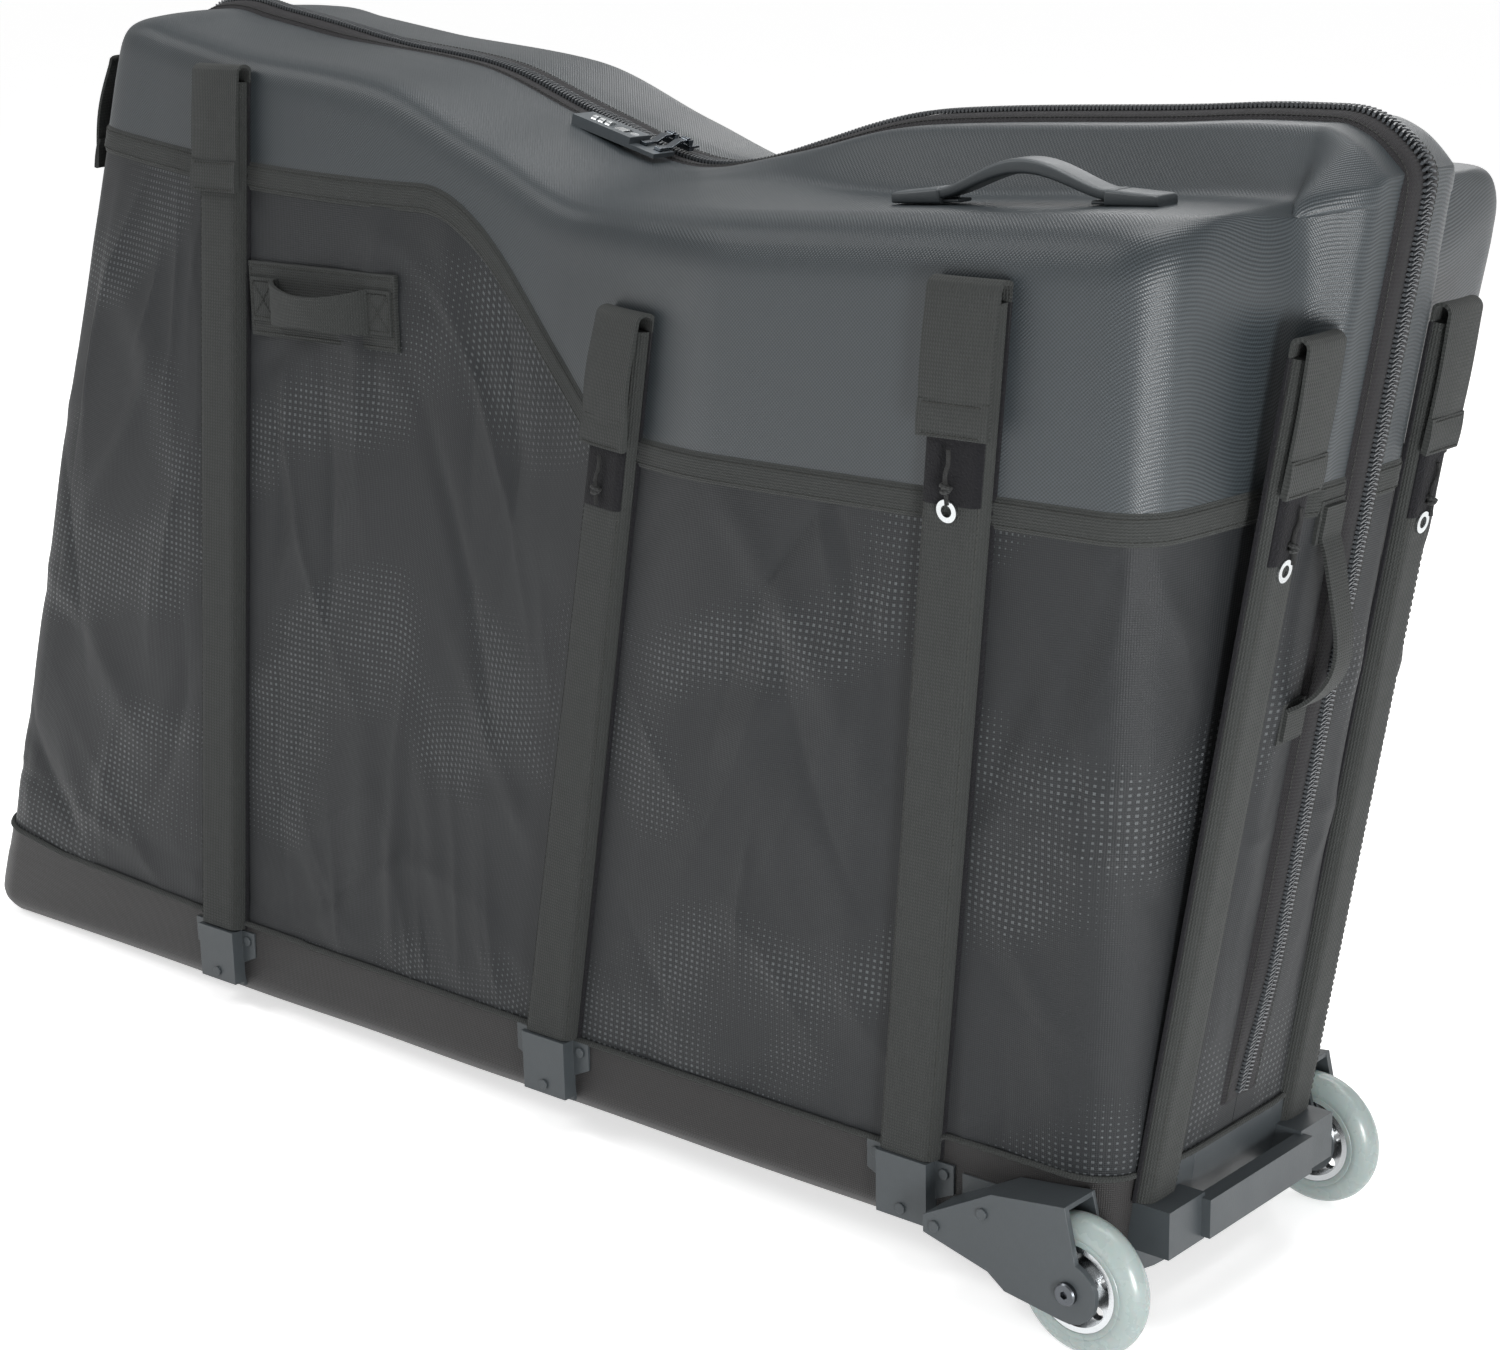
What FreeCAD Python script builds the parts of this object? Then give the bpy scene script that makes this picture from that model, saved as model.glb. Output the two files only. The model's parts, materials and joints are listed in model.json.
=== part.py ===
"""Soft-sided bike travel case: hard upper shells on fabric sides, over a stiff wheeled base.

Lengths are millimetres. The pieces are built in the case's own frame: X runs from the foot of the rear
end towards the wheels, Y across (the near side is -Y), Z up from the underside of the base. At the end one
placement stands the whole case on its wheels and rear skids.
"""
import FreeCAD, Part
import math
import os
import Sketcher
from types import SimpleNamespace
from FreeCAD import Placement, Rotation, Vector

SIZES = {
    # Outer form of the case
    "base_length": 1254, "base_width": 260, "pod_width": 426, "case_height": 815,
    "front_pole_set_back": 172, "rear_lean": 267, "front_lean": 142, "pod_lean": 93,
    "pod_set_back": 6, "valley_step": 3, "end_corner": 38,
    "ridge_width": 90, "riser_width": 170, "ledge_drop": 42, "shoulder": 38, "rear_shoulder": 18,
    "base_chamfer": 14, "rear_scuff": 34, "rear_top_drop": 6, "rear_taper": 10, "nose_drop": 28,
    # Walls and gaps
    "shell_wall": 3, "panel_wall": 5, "tray_wall": 4, "fit_gap": 0.4, "fold_gap": 0.8, "overrun": 60,
    # Skirt of the base and the seam between shell and fabric
    "skirt_height": 60, "skirt_rear_rise": 28, "cap_height": 80, "cap_run": 130, "cap_ramp": 25,
    "seam_rear_drop": 125, "seam_front_drop": 278, "seam_rear_rise": 30,
    "binding_width": 22, "binding_thickness": 1.4,
    # Zip
    "zip_width": 40, "zip_gap": 0.6, "zip_foot_height": 104, "tape_sink": 1, "tape_thickness": 1.6,
    "coil_width": 7, "coil_height": 2.2, "coil_sink": 0.8,
    # Pole sleeves, poles and flaps
    "sleeve_width": 50, "sleeve_thickness": 10, "pole_diameter": 7, "pole_play": 0.3, "pole_inset": 3,
    "rear_sleeve_drop": 47, "mid_sleeve_drop": 193, "front_sleeve_drop": 145,
    "end_sleeve_width": 38, "end_sleeve_shift": 1, "end_sleeve_gap": 2, "end_sleeve_drop": 181,
    "tail_sleeve_drop": 47, "tail_sleeve_inset": 54, "flap_length": 90, "flap_overlap": 2, "flap_thickness": 2.5,
    "flap_gap": 0.4, "flap_rise": 7, "eyelet_diameter": 15, "eyelet_bore": 8,
    "eyelet_thickness": 1.6, "eyelet_drop": 135,
    # Base pieces
    "board_thickness": 8, "board_side": 25, "board_corner": 20, "board_start": 66, "board_end": 38,
    "skid_length": 130, "skid_width": 34, "skid_height": 6,
    "skid_start": 46, "skid_inset": 48, "cap_wall": 3, "cap_wrap": 18, "cap_foot_height": 8,
    "lobe_width": 46, "ear_width": 43, "ear_inset": 46.5, "ear_height": 34, "ear_foot_height": 26,
    "ear_reach": 33, "bar_overlap": 4, "bar_depth": 12, "bar_height": 28, "bar_reach": 40,
    "cradle_length": 90, "cradle_width": 110, "cradle_foot": 8, "cradle_height": 150, "cradle_post": 44,
    "cradle_notch": 26,
    # Wheels
    "wheel_diameter": 100, "tyre_width": 24, "tyre_crown": 9, "crown_step": 3, "hub_diameter": 62, "hub_rim": 4,
    "hub_width": 22, "hub_boss_diameter": 30, "hub_web": 6, "window_diameter": 10, "wheel_stand_off": 19,
    "axle_height": 16, "axle_set_back": 4, "bolt_diameter": 8, "bolt_play": 0.05, "bolt_head_diameter": 16,
    "bolt_head_height": 4, "bolt_socket": 6, "socket_sink": 2.5, "bolt_tail": 4, "bearing_diameter": 22,
    "bearing_width": 7, "hub_bore": 16, "spacer_diameter": 12, "spacer_gap": 0.3,
    "cheek_gap": 3.3, "cheek_thickness": 3, "plate_gap": 33.5, "plate_thickness": 5, "housing_roof": 4,
    "housing_nose_radius": 22, "housing_tip_back": 119, "housing_tip_low": 24, "housing_tip_high": 37,
    "housing_bend_back": 62, "housing_bend_height": 68, "housing_crest_back": 3, "housing_crest_height": 76,
    "housing_toe_back": 51, "housing_toe_height": 1, "housing_step_back": 65, "housing_step_height": 11,
    "housing_block_back": 58, "pad_foot": 14, "pad_head": 56,
    "pad_back": 112,
    # Anchors, rivets and ring
    "anchor_width": 76, "anchor_foot_width": 42, "anchor_foot_height": 9, "anchor_waist_height": 30,
    "anchor_plate": 3.5, "anchor_top_drop": 0.6,
    "pocket_width": 44, "pocket_foot_height": 13, "pocket_thickness": 14, "socket_depth": 14, "socket_play": 0.6,
    "rivet_diameter": 8, "rivet_height": 1.8, "rivet_inset": 8, "plate_rivet_back": 69,
    "plate_rivet_height": 52, "tip_rivet_back": 109, "tip_rivet_height": 31,
    "ring_diameter": 27, "ring_wire": 4, "ring_play": 0.8,
    "tab_width": 6, "tab_height": 16, "tab_depth": 9.4, "ring_depth": 5, "ring_inset": 60, "ring_height": 66,
    # Handles
    "handle_length": 200, "handle_width": 24, "handle_cap_length": 42, "handle_cap_height": 11, "grip_thickness": 8,
    "grip_rise": 24, "handle_set_back": 66,
    "patch_length": 168, "patch_width": 58, "patch_thickness": 2, "loop_length": 104, "loop_width": 32,
    "loop_thickness": 3, "loop_rise": 22, "side_handle_drop": 213,
    "end_loop_drop": 360, "end_loop_length": 156, "end_loop_width": 22, "end_loop_rise": 27, "end_loop_gap": 2,
    "end_loop_tongue": 32,
    # Lock, sliders and pulls
    "lock_length": 84, "lock_width": 22, "lock_height": 8, "lock_offset": 3, "step_start": 59, "step_height": 3.2,
    "dial_diameter": 9, "dial_width": 5, "dial_pitch": 7, "dial_first": 12, "dial_axis_height": 5.8,
    "dial_play": 0.3, "dial_pin": 2, "dial_wall": 2, "release_length": 9, "release_width": 9, "release_height": 2.4,
    "release_travel": 3, "release_start": 36, "key_diameter": 7, "key_depth": 3, "key_centre": 53,
    "key_slot_width": 1.2, "key_slot_length": 5, "key_slot_depth": 1,
    "slider_length": 13, "slider_width": 11, "slider_first": 63.5, "slider_pitch": 14.5, "slider_gap": 0.3,
    "slider_lift": 2.4, "slider_plate": 1.5, "slider_split": 0.4, "post_width": 2, "post_depth": 4, "post_top": 10.4,
    "pull_pin": 2, "pin_height": 9, "pin_offset": 3, "pull_eye": 5.2, "pull_width": 6, "pull_thickness": 1.8,
    "pull_slack": 0.4, "pull_bend": 12, "pull_foot": 20, "pull_tip": 33, "pull_low": 4.4, "hook_low": 2.4,
    "slot_slack": 0.8, "slot_floor": 1,
    # Pull cords of the poles
    "cord_diameter": 3, "cord_length": 26, "knot_diameter": 8, "cord_gap": 0.3, "cord_drop": 93,
}

# Stations along the case, rear to front: foot share of the base length, head share of the run along the top,
# ridge share of the case height, flare share towards the pod width, riser share and ledge share of the ledge drop.
STATION_SHARES = {
    "rear_pole": (0.278, 0.147, 0.975, 0.0, 0.03, 0.1),
    "rear_quarter": (0.381, 0.294, 0.953, 0.0, 0.03, 0.1),
    "dip_start": (0.455, 0.403, 0.908, 0.02, 0.06, 0.2),
    "dip": (0.526, 0.511, 0.872, 0.2, 0.12, 0.32),
    "mid_pole": (0.582, 0.601, 0.892, 0.62, 0.35, 0.6),
    "pod_start": (0.687, 0.685, 0.919, 0.97, 0.95, 1.0),
    "front_pole": (0.863, 0.856, 0.931, 1.0, 1.0, 1.0),
}
REAR_DROP_SHARES = (0.03, 0.1)
POD_DROP_SHARES = (1.0, 1.0)
POD_RIDGE_SHARE = 0.936
RIDGE_FIT_SHARE = 0.85
SEAM_STEP_SPAN_SHARES = (0.51, 0.695)
SIDE_HANDLE_SHARE = 0.42
CRADLE_SHARE = 0.51
VALLEY_NOSE_SHARE = 0.3
VALLEY_SHOULDER_SHARES = (0, 0.2, 0.5, 1)
NOSE_SHOULDER_SHARES = (0.25, 0.5, 0.75, 1)
ROUND_SHARE = 1 - math.cos(math.pi / 4)
MITRE_SHARE = math.tan(math.pi / 8)
SKIRT_RISE_SHARES = ((0.02, 1), (0.1, 0.5), (0.26, 0.2), (0.6, 0))
SEAM_STEP_SHARES = [step / 10 for step in range(11)]
SEAM_RISE_SHARES = (1, 0.5, 0)
ARCH_SHARES = ((0, 0), (0.12, 0.42), (0.3, 0.85), (0.5, 1), (0.7, 0.85), (0.88, 0.42), (1, 0))
SPOKE_COUNT = 5
NOSE_TURNS = [math.radians(angle) for angle in range(75, -106, -20)]
SIDE_SLEEVES = {"rear": "rear_pole", "mid": "mid_pole", "front": "front_pole"}

doc = FreeCAD.newDocument("bike_travel_case")
sheet = doc.addObject("Spreadsheet::Sheet", "Sizes")
for row, (alias, number) in enumerate(SIZES.items(), start=1):
    sheet.set(f"A{row}", alias)
    sheet.set(f"B{row}", str(number))
    sheet.setAlias(f"B{row}", alias)
doc.recompute()
size = SimpleNamespace(**{alias: float(sheet.get(alias)) for alias in SIZES})
seam_rear_height = size.case_height - size.seam_rear_drop
seam_front_height = size.case_height - size.seam_front_drop
half_base = size.base_width / 2
half_pod = size.pod_width / 2
axle_x = size.base_length - size.axle_set_back
axle_z = size.axle_height
wheel_centre = half_base + size.wheel_stand_off
cheek_face = half_base + size.cheek_gap
plate_face = half_base + size.plate_gap


class Cell:
    """A sheet value, or a sum of them, that keeps its number and its expression together."""

    def __init__(self, number, text):
        self.number = number
        self.text = text

    @staticmethod
    def of(value):
        return value if isinstance(value, Cell) else Cell(float(value), str(value))

    def __add__(self, other):
        other = Cell.of(other)
        return Cell(self.number + other.number, f"({self.text} + {other.text})")

    def __sub__(self, other):
        other = Cell.of(other)
        return Cell(self.number - other.number, f"({self.text} - {other.text})")

    def __truediv__(self, divisor):
        return Cell(self.number / divisor, f"({self.text} / {divisor})")

    def __mul__(self, factor):
        return Cell(self.number * factor, f"({self.text} * {factor})")


cell = SimpleNamespace(**{alias: Cell(getattr(size, alias), f"Sizes.{alias}") for alias in SIZES})
pieces = {}


# Helpers for document objects

def bind(thing, **cells):
    """Bind properties of an object to the sheet."""
    for name, value in cells.items():
        thing.setExpression(name, Cell.of(value).text)
    return thing


def make(kind, name, **cells):
    return bind(doc.addObject(kind, name), **cells)


def keep(label, thing):
    """Name an object as one of the case's pieces."""
    thing.Label = label
    pieces[label] = thing
    return thing


def keep_shape(label, shape):
    """A piece whose shape is worked out from the stations of the form."""
    thing = doc.addObject("Part::Feature", label)
    thing.Shape = shape
    return keep(label, thing)


def boolean(kind, name, base, tool):
    thing = doc.addObject(kind, name)
    thing.Base = base
    thing.Tool = tool
    return thing


def group(label, members):
    """A piece made of several separate solids."""
    thing = doc.addObject("Part::Compound", label)
    thing.Links = members
    return keep(label, thing)


def mirrored(label, source):
    """The far side's twin of a near-side piece."""
    thing = doc.addObject("Part::Mirroring", label)
    thing.Source = source
    thing.Normal = Vector(0, 1, 0)
    return keep(label, thing)


def outline(body, role, points):
    """A closed sketch of straight lines on one of the body's own planes, each corner bound to the sheet."""
    plane = next(item for item in body.Origin.OriginFeatures if item.Role == role)
    sketch = body.newObject("Sketcher::SketchObject", f"{body.Name}_{role}")
    sketch.AttachmentSupport = [(plane, "")]
    sketch.MapMode = "FlatFace"
    corners = [(Cell.of(across), Cell.of(up)) for across, up in points]
    spots = [Vector(across.number, up.number, 0) for across, up in corners]
    for start, end in zip(spots, spots[1:] + spots[:1]):
        sketch.addGeometry(Part.LineSegment(start, end))
    for index in range(len(spots)):
        sketch.addConstraint(Sketcher.Constraint("Coincident", index - 1 if index else len(spots) - 1, 2, index, 1))
    for index, (across, up) in enumerate(corners):
        for kind, axis, value in (("DistanceX", -2, across), ("DistanceY", -1, up)):
            if value.number == 0:
                sketch.addConstraint(Sketcher.Constraint("PointOnObject", index, 1, axis))
                continue
            place = sketch.addConstraint(Sketcher.Constraint(kind, -1, 1, index, 1, value.number))
            sketch.setExpression(f"Constraints[{place}]", value.text)
    return sketch


def turned(name, points):
    """A body turned about its own X axis from (along, radius) corners."""
    body = doc.addObject("PartDesign::Body", name)
    sketch = outline(body, "XY_Plane", points)
    turn = body.newObject("PartDesign::Revolution", f"{name}_turn")
    turn.Profile = sketch
    turn.ReferenceAxis = (sketch, ["H_Axis"])
    turn.Angle = 360
    return body


def padded(name, role, points, length):
    """A body padded evenly to both sides of one of its planes."""
    body = doc.addObject("PartDesign::Body", name)
    pad = body.newObject("PartDesign::Pad", f"{name}_pad")
    pad.Profile = outline(body, role, points)
    pad.SideType = "Symmetric"
    bind(pad, Length=length)
    return body


# Helpers for plain shapes

def placed(shape, seat):
    """The shape moved to a seat, if one is given."""
    if seat:
        shape.Placement = seat.multiply(shape.Placement)
    return shape


def block(low, high, seat=None):
    """A box between two corners, optionally moved to a seat."""
    low = Vector(*low)
    span = Vector(*high) - low
    shape = Part.makeBox(span.x, span.y, span.z, low)
    return placed(shape, seat)


def prism(points, low, high, seat=None):
    """A prism along Y of an (x, z) outline, optionally moved to a seat."""
    corners = [Vector(x, low, z) for x, z in points]
    shape = Part.Face(Part.makePolygon(corners + corners[:1])).extrude(Vector(0, high - low, 0))
    return placed(shape, seat)


def rod(start, end, diameter):
    way = end - start
    return Part.makeCylinder(diameter / 2, way.Length, start, way)


def seat_on(origin, out, up):
    """Placement on a surface: local Z runs up it, local -Y points out of it."""
    inward = out * -1
    inward.normalize()
    rise = up - inward * up.dot(inward)
    rise.normalize()
    return Placement(origin, Rotation(inward.cross(rise), inward, rise, "YZX"))


# Form of the case

def rear_x(height):
    return size.rear_lean * height / size.case_height


def zip_front_x(height):
    return size.base_length + size.front_lean * height / size.case_height


def pod_front_x(height):
    return size.base_length - size.pod_set_back + size.pod_lean * min(height / seam_front_height, 1)


def station_x(name, height):
    foot_share, head_share = STATION_SHARES[name][:2]
    foot = foot_share * size.base_length
    if name == "front_pole":
        foot = size.base_length - size.front_pole_set_back
    head = size.rear_lean + head_share * (size.base_length + size.front_lean - size.rear_lean)
    return foot + (head - foot) * height / size.case_height


def profile(ridge, half_head, half_foot, riser_share, ledge_share, shoulder, sole=0):
    """Half outline across the case, from the ridge down to the middle of the base: (half width, height)."""
    ledge = ridge - ledge_share * size.ledge_drop
    ledge_half = half_head - shoulder
    ridge_half = min(size.ridge_width / 2, RIDGE_FIT_SHARE * ledge_half)
    riser_half = min(size.riser_width / 2, (ridge_half + ledge_half) / 2)
    turn = ROUND_SHARE * shoulder
    return [
        (0, ridge), (ridge_half, ridge), (riser_half, ridge - riser_share * size.ledge_drop),
        (ledge_half, ledge), (half_head - turn, ledge - turn), (half_head, ledge - shoulder),
        (half_foot, size.skirt_height), (half_foot, sole + size.base_chamfer),
        (half_foot - size.base_chamfer, sole), (0, sole),
    ]


def section(name):
    """One station as (x, half width, height) points, with its share of lengthwise growth."""
    half = size.base_width / 2
    rear_half = half - size.rear_taper
    pod_half = size.pod_width / 2
    corner = size.end_corner
    pod_ridge = POD_RIDGE_SHARE * size.case_height
    pod_ledge = pod_ridge - size.ledge_drop
    shoulder_foot = pod_ledge - size.shoulder
    nose_top = pod_ridge - size.nose_drop
    foot_points = [size.skirt_height, size.base_chamfer, 0, 0]
    if name == "rear_face":
        ridge = size.case_height - size.rear_top_drop
        points = profile(ridge, rear_half - corner, half - corner, *REAR_DROP_SHARES,
                         size.rear_shoulder, size.rear_scuff)
        return [(rear_x(z), y, z) for y, z in points], -1
    if name == "rear_corner":
        points = profile(size.case_height, rear_half, half, *REAR_DROP_SHARES, size.rear_shoulder)
        return [(rear_x(z) + corner, y, z) for y, z in points], -MITRE_SHARE
    if name == "front_corner":
        points = profile(pod_ridge, pod_half, half, *POD_DROP_SHARES, size.shoulder)
        return [(pod_front_x(z) - corner, y, z) for y, z in points], MITRE_SHARE
    if name == "front_turn":
        points = profile(pod_ridge, pod_half - corner, half - corner, *POD_DROP_SHARES, size.shoulder)
        return [(pod_front_x(z), y, z) for y, z in points], 1
    if name == "valley":
        step = size.valley_step
        wide = min(size.riser_width / 2, half - corner) - step
        crest = pod_ridge - VALLEY_NOSE_SHARE * size.nose_drop
        crest_x = (pod_front_x(crest) + zip_front_x(nose_top)) / 2
        sides = [pod_ledge - share * size.shoulder for share in VALLEY_SHOULDER_SHARES] + foot_points
        points = [(crest_x, 0, crest), (crest_x, size.ridge_width / 2, crest)]
        points += [(pod_front_x(z) + step, wide, z) for z in sides[:-2]]
        foot_x = pod_front_x(0) + step
        return points + [(foot_x, wide - size.base_chamfer, 0), (foot_x, 0, 0)], 1
    if name == "nose":
        narrow = size.ridge_width / 2
        sides = [nose_top + share * (shoulder_foot - nose_top) for share in NOSE_SHOULDER_SHARES] + foot_points
        points = [(nose_top, 0), (nose_top, narrow)] + [(z, narrow) for z in sides[:-2]]
        points += [(0, narrow - size.base_chamfer), (0, 0)]
        return [(zip_front_x(z), y, z) for z, y in points], 1
    ridge_share, flare_share, riser_share, ledge_share = STATION_SHARES[name][2:]
    head = half + flare_share * (pod_half - half)
    shoulder = size.rear_shoulder + flare_share * (size.shoulder - size.rear_shoulder)
    points = profile(ridge_share * size.case_height, head, half, riser_share, ledge_share, shoulder)
    return [(station_x(name, z), y, z) for y, z in points], 0


STATIONS = ["rear_face", "rear_corner", *STATION_SHARES, "front_corner", "front_turn", "valley", "nose"]


def grown(name, grow, centre=0):
    """A station's points on the near side, moved out by grow, with its middle points at centre."""
    points, end_share = section(name)
    flat = [(y, z) for _, y, z in points]
    normals = []
    for (y_a, z_a), (y_b, z_b) in zip(flat, flat[1:]):
        run = math.hypot(y_b - y_a, z_b - z_a)
        normals.append(((z_a - z_b) / run, (y_b - y_a) / run))
    moved = []
    for index, (x, y, z) in enumerate(points):
        if index in (0, len(points) - 1):
            z += grow if index == 0 else -grow
            moved.append(Vector(x + end_share * grow, centre, z))
            continue
        (a_y, a_z), (b_y, b_z) = normals[index - 1], normals[index]
        reach = grow / (1 + a_y * b_y + a_z * b_z)
        moved.append(Vector(x + end_share * grow, -(y + (a_y + b_y) * reach), z + (a_z + b_z) * reach))
    return moved


def form(grow=0, centre=0):
    """Solid of the case's near half with flat facets between the stations, moved out by grow."""
    rings = [grown(name, grow, centre) for name in STATIONS]
    count = len(rings[0])
    facets = []
    for ring, following in zip(rings, rings[1:]):
        for index in range(count):
            after = (index + 1) % count
            facets.append((ring[index], ring[after], following[after]))
            facets.append((ring[index], following[after], following[index]))
    rear, front = rings[0], rings[-1]
    facets += [(rear[-1], rear[index + 1], rear[index]) for index in range(count - 2)]
    facets += [(front[-1], front[index], front[index + 1]) for index in range(count - 2)]
    skin = Part.Compound([Part.Face(Part.makePolygon([a, b, c, a])) for a, b, c in facets])
    skin.sewShape()
    solid = Part.makeSolid(Part.makeShell(skin.Faces))
    if solid.Volume < 0:
        solid.reverse()
    return solid.removeSplitter()


def skin_between(low, high):
    """Layer of the near half between two distances from the outer form."""
    return form(high).cut(form(low, centre=size.overrun))


def side_point(name, height, grow=0):
    """Point of a station's side wall at a height."""
    ring = grown(name, grow)
    head, foot = ring[5], ring[6]
    return foot + (head - foot) * ((height - foot.z) / (head.z - foot.z))


def side_seat(name, height, grow=0):
    """Placement on a station's side wall, facing out."""
    index = STATIONS.index(name)
    across = side_point(STATIONS[index + 1], height) - side_point(STATIONS[index - 1], height)
    up = side_point(name, height) - side_point(name, size.skirt_height)
    return seat_on(side_point(name, height, grow), across.cross(up), up)


# Lines that divide the skin

LOW = -size.overrun
FAR = size.base_length + size.front_lean + size.overrun
TOP = size.case_height + size.overrun
WIDE = size.pod_width / 2 + size.overrun


def seam_points(shift=0):
    """Seam between shell and fabric from the rear to the front, as (x, height)."""
    drop = seam_rear_height - seam_front_height
    step_start, step_end = [share * size.base_length for share in SEAM_STEP_SPAN_SHARES]
    points = [(LOW, seam_rear_height + size.seam_rear_rise + shift)]
    rise_run = step_start - rear_x(seam_rear_height)
    for share in SEAM_RISE_SHARES[:-1]:
        points.append((step_start - share * rise_run, seam_rear_height + share ** 2 * size.seam_rear_rise + shift))
    for share in SEAM_STEP_SHARES:
        x = step_start + share * (step_end - step_start)
        points.append((x, seam_front_height + drop * (1 + math.cos(math.pi * share)) / 2 + shift))
    return points + [(FAR, seam_front_height + shift)]


def skirt_points(shift=0):
    """Top edge of the base from the rear to the front, as (x, height)."""
    cap_start = size.base_length - size.cap_run
    points = [(LOW, size.skirt_height + size.skirt_rear_rise + shift)]
    for along_share, rise_share in SKIRT_RISE_SHARES:
        points.append((along_share * size.base_length, size.skirt_height + rise_share * size.skirt_rear_rise + shift))
    points.append((cap_start - size.cap_ramp, size.skirt_height + shift))
    points.append((cap_start, size.cap_height + shift))
    return points + [(FAR, size.cap_height + shift)]


# Shell, fabric, binding and zip of the near half

zip_half = size.zip_width / 2
outer = form()


def build_skin():
    split = size.fit_gap / 2
    above_seam = prism(seam_points(split) + [(FAR, TOP), (LOW, TOP)], -WIDE, -zip_half)
    keep_shape("near_shell", outer.common(above_seam).cut(form(-size.shell_wall, centre=size.overrun)))
    fabric = skirt_points(size.fold_gap)[::-1]
    beside_zip = prism(seam_points(-split) + fabric, -WIDE, -zip_half)
    foot_line = [(FAR, size.zip_foot_height), (LOW, size.zip_foot_height)]
    under_zip = prism(foot_line + skirt_points(size.fold_gap), -WIDE, -size.zip_gap / 2)
    panel = outer.common(beside_zip.fuse(under_zip)).cut(form(-size.panel_wall, centre=size.overrun))
    keep_shape("near_panel", panel.removeSplitter())
    half_band = size.binding_width / 2
    band = prism(seam_points(half_band) + seam_points(-half_band)[::-1], -WIDE, -zip_half)
    layer = skin_between(split, split + size.binding_thickness)
    room = size.end_sleeve_width / 2 + size.fit_gap
    past_sleeve = block((-room, -size.overrun, -size.case_height), (room, size.overrun, 0), end_seat("nose"))
    keep_shape("near_binding", layer.common(band).cut(past_sleeve))


def build_zip():
    foot = size.zip_foot_height + size.fit_gap
    tape_room = block((LOW, -zip_half + size.fit_gap, foot), (FAR, -size.zip_gap / 2, TOP))
    tape = skin_between(-size.tape_sink - size.tape_thickness, -size.tape_sink).common(tape_room)
    coil_room = block((LOW, -size.coil_width / 2, foot), (FAR, -size.zip_gap / 2, TOP))
    coil = skin_between(-size.coil_sink, size.coil_height).common(coil_room)
    keep_shape("near_zip", Part.makeCompound([tape, coil]))


# Sleeves, poles, eyelets and flaps

sleeve_back = size.binding_thickness + size.fit_gap * 1.5
sleeve_face = sleeve_back + size.sleeve_thickness
pole_depth = (sleeve_back + sleeve_face) / 2
sleeve_drops = {"rear": size.rear_sleeve_drop, "mid": size.mid_sleeve_drop, "front": size.front_sleeve_drop}
sleeve_tops = {name: size.case_height - drop for name, drop in sleeve_drops.items()}
end_sleeve_top = size.case_height - size.end_sleeve_drop
tail_sleeve_top = size.case_height - size.tail_sleeve_drop
sleeve_foot = size.skirt_height + size.fold_gap


def side_sleeve(name):
    """Webbing tube that follows the side wall along one station, and the straight pole inside it."""
    station = SIDE_SLEEVES[name]
    top = sleeve_tops[name]
    half = size.sleeve_width / 2
    low_x = station_x(station, sleeve_foot)
    high_x = station_x(station, top)
    strip = [(low_x - half, sleeve_foot), (low_x + half, sleeve_foot), (high_x + half, top), (high_x - half, top)]
    tube = skin_between(sleeve_back, sleeve_face).common(prism(strip, -WIDE, 0))
    foot = side_point(station, sleeve_foot, pole_depth)
    head = side_point(station, top, pole_depth)
    way = (head - foot).normalize()
    bore = rod(foot - way * size.overrun, head + way * size.overrun, size.pole_diameter + 2 * size.pole_play)
    pole = rod(foot + way * size.pole_inset, head - way * size.pole_inset, size.pole_diameter)
    return tube.cut(bore), pole


def end_seat(name):
    """Placement at the top of an end sleeve's back face: local Z up the end, local -Y outwards."""
    if name == "nose":
        slope = Vector(size.pod_lean, 0, seam_front_height)
        reach = size.pod_lean * end_sleeve_top / seam_front_height
        x = size.base_length - size.pod_set_back + reach + size.end_sleeve_gap
        origin = Vector(x, -size.riser_width / 2 - size.end_sleeve_shift, end_sleeve_top)
        return seat_on(origin, Vector(slope.z, 0, -slope.x), slope)
    slope = Vector(size.rear_lean, 0, size.case_height)
    out = Vector(-slope.z, 0, slope.x).normalize()
    origin = Vector(rear_x(tail_sleeve_top), size.tail_sleeve_inset - half_base, tail_sleeve_top)
    return seat_on(origin + out * sleeve_back, out, slope)


def end_sleeve(name):
    """Straight webbing tube on one end of the case, and its pole, in the frame of its top."""
    seat = end_seat(name)
    foot_height = size.cap_height if name == "nose" else size.skirt_height + size.skirt_rear_rise
    rise = seat.Rotation.multVec(Vector(0, 0, 1))
    length = (seat.Base.z - foot_height - 2 * size.fold_gap) / rise.z
    half = size.end_sleeve_width / 2
    tube = block((-half, -size.sleeve_thickness, -length), (half, 0, 0), seat)
    middle = -size.sleeve_thickness / 2
    ends = [seat.multVec(Vector(0, middle, height)) for height in (-length - size.overrun, size.overrun)]
    bore = rod(*ends, size.pole_diameter + 2 * size.pole_play)
    spots = [seat.multVec(Vector(0, middle, z)) for z in (size.pole_inset - length, -size.pole_inset)]
    wall = form(size.fit_gap, centre=size.overrun)
    return tube.cut(wall).cut(bore), rod(*spots, size.pole_diameter)


def flap_seat(name):
    """Placement of a flap's fold: the back of its sleeve at the top."""
    if name in SIDE_SLEEVES:
        return side_seat(SIDE_SLEEVES[name], sleeve_tops[name], sleeve_back)
    return end_seat(name)


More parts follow.
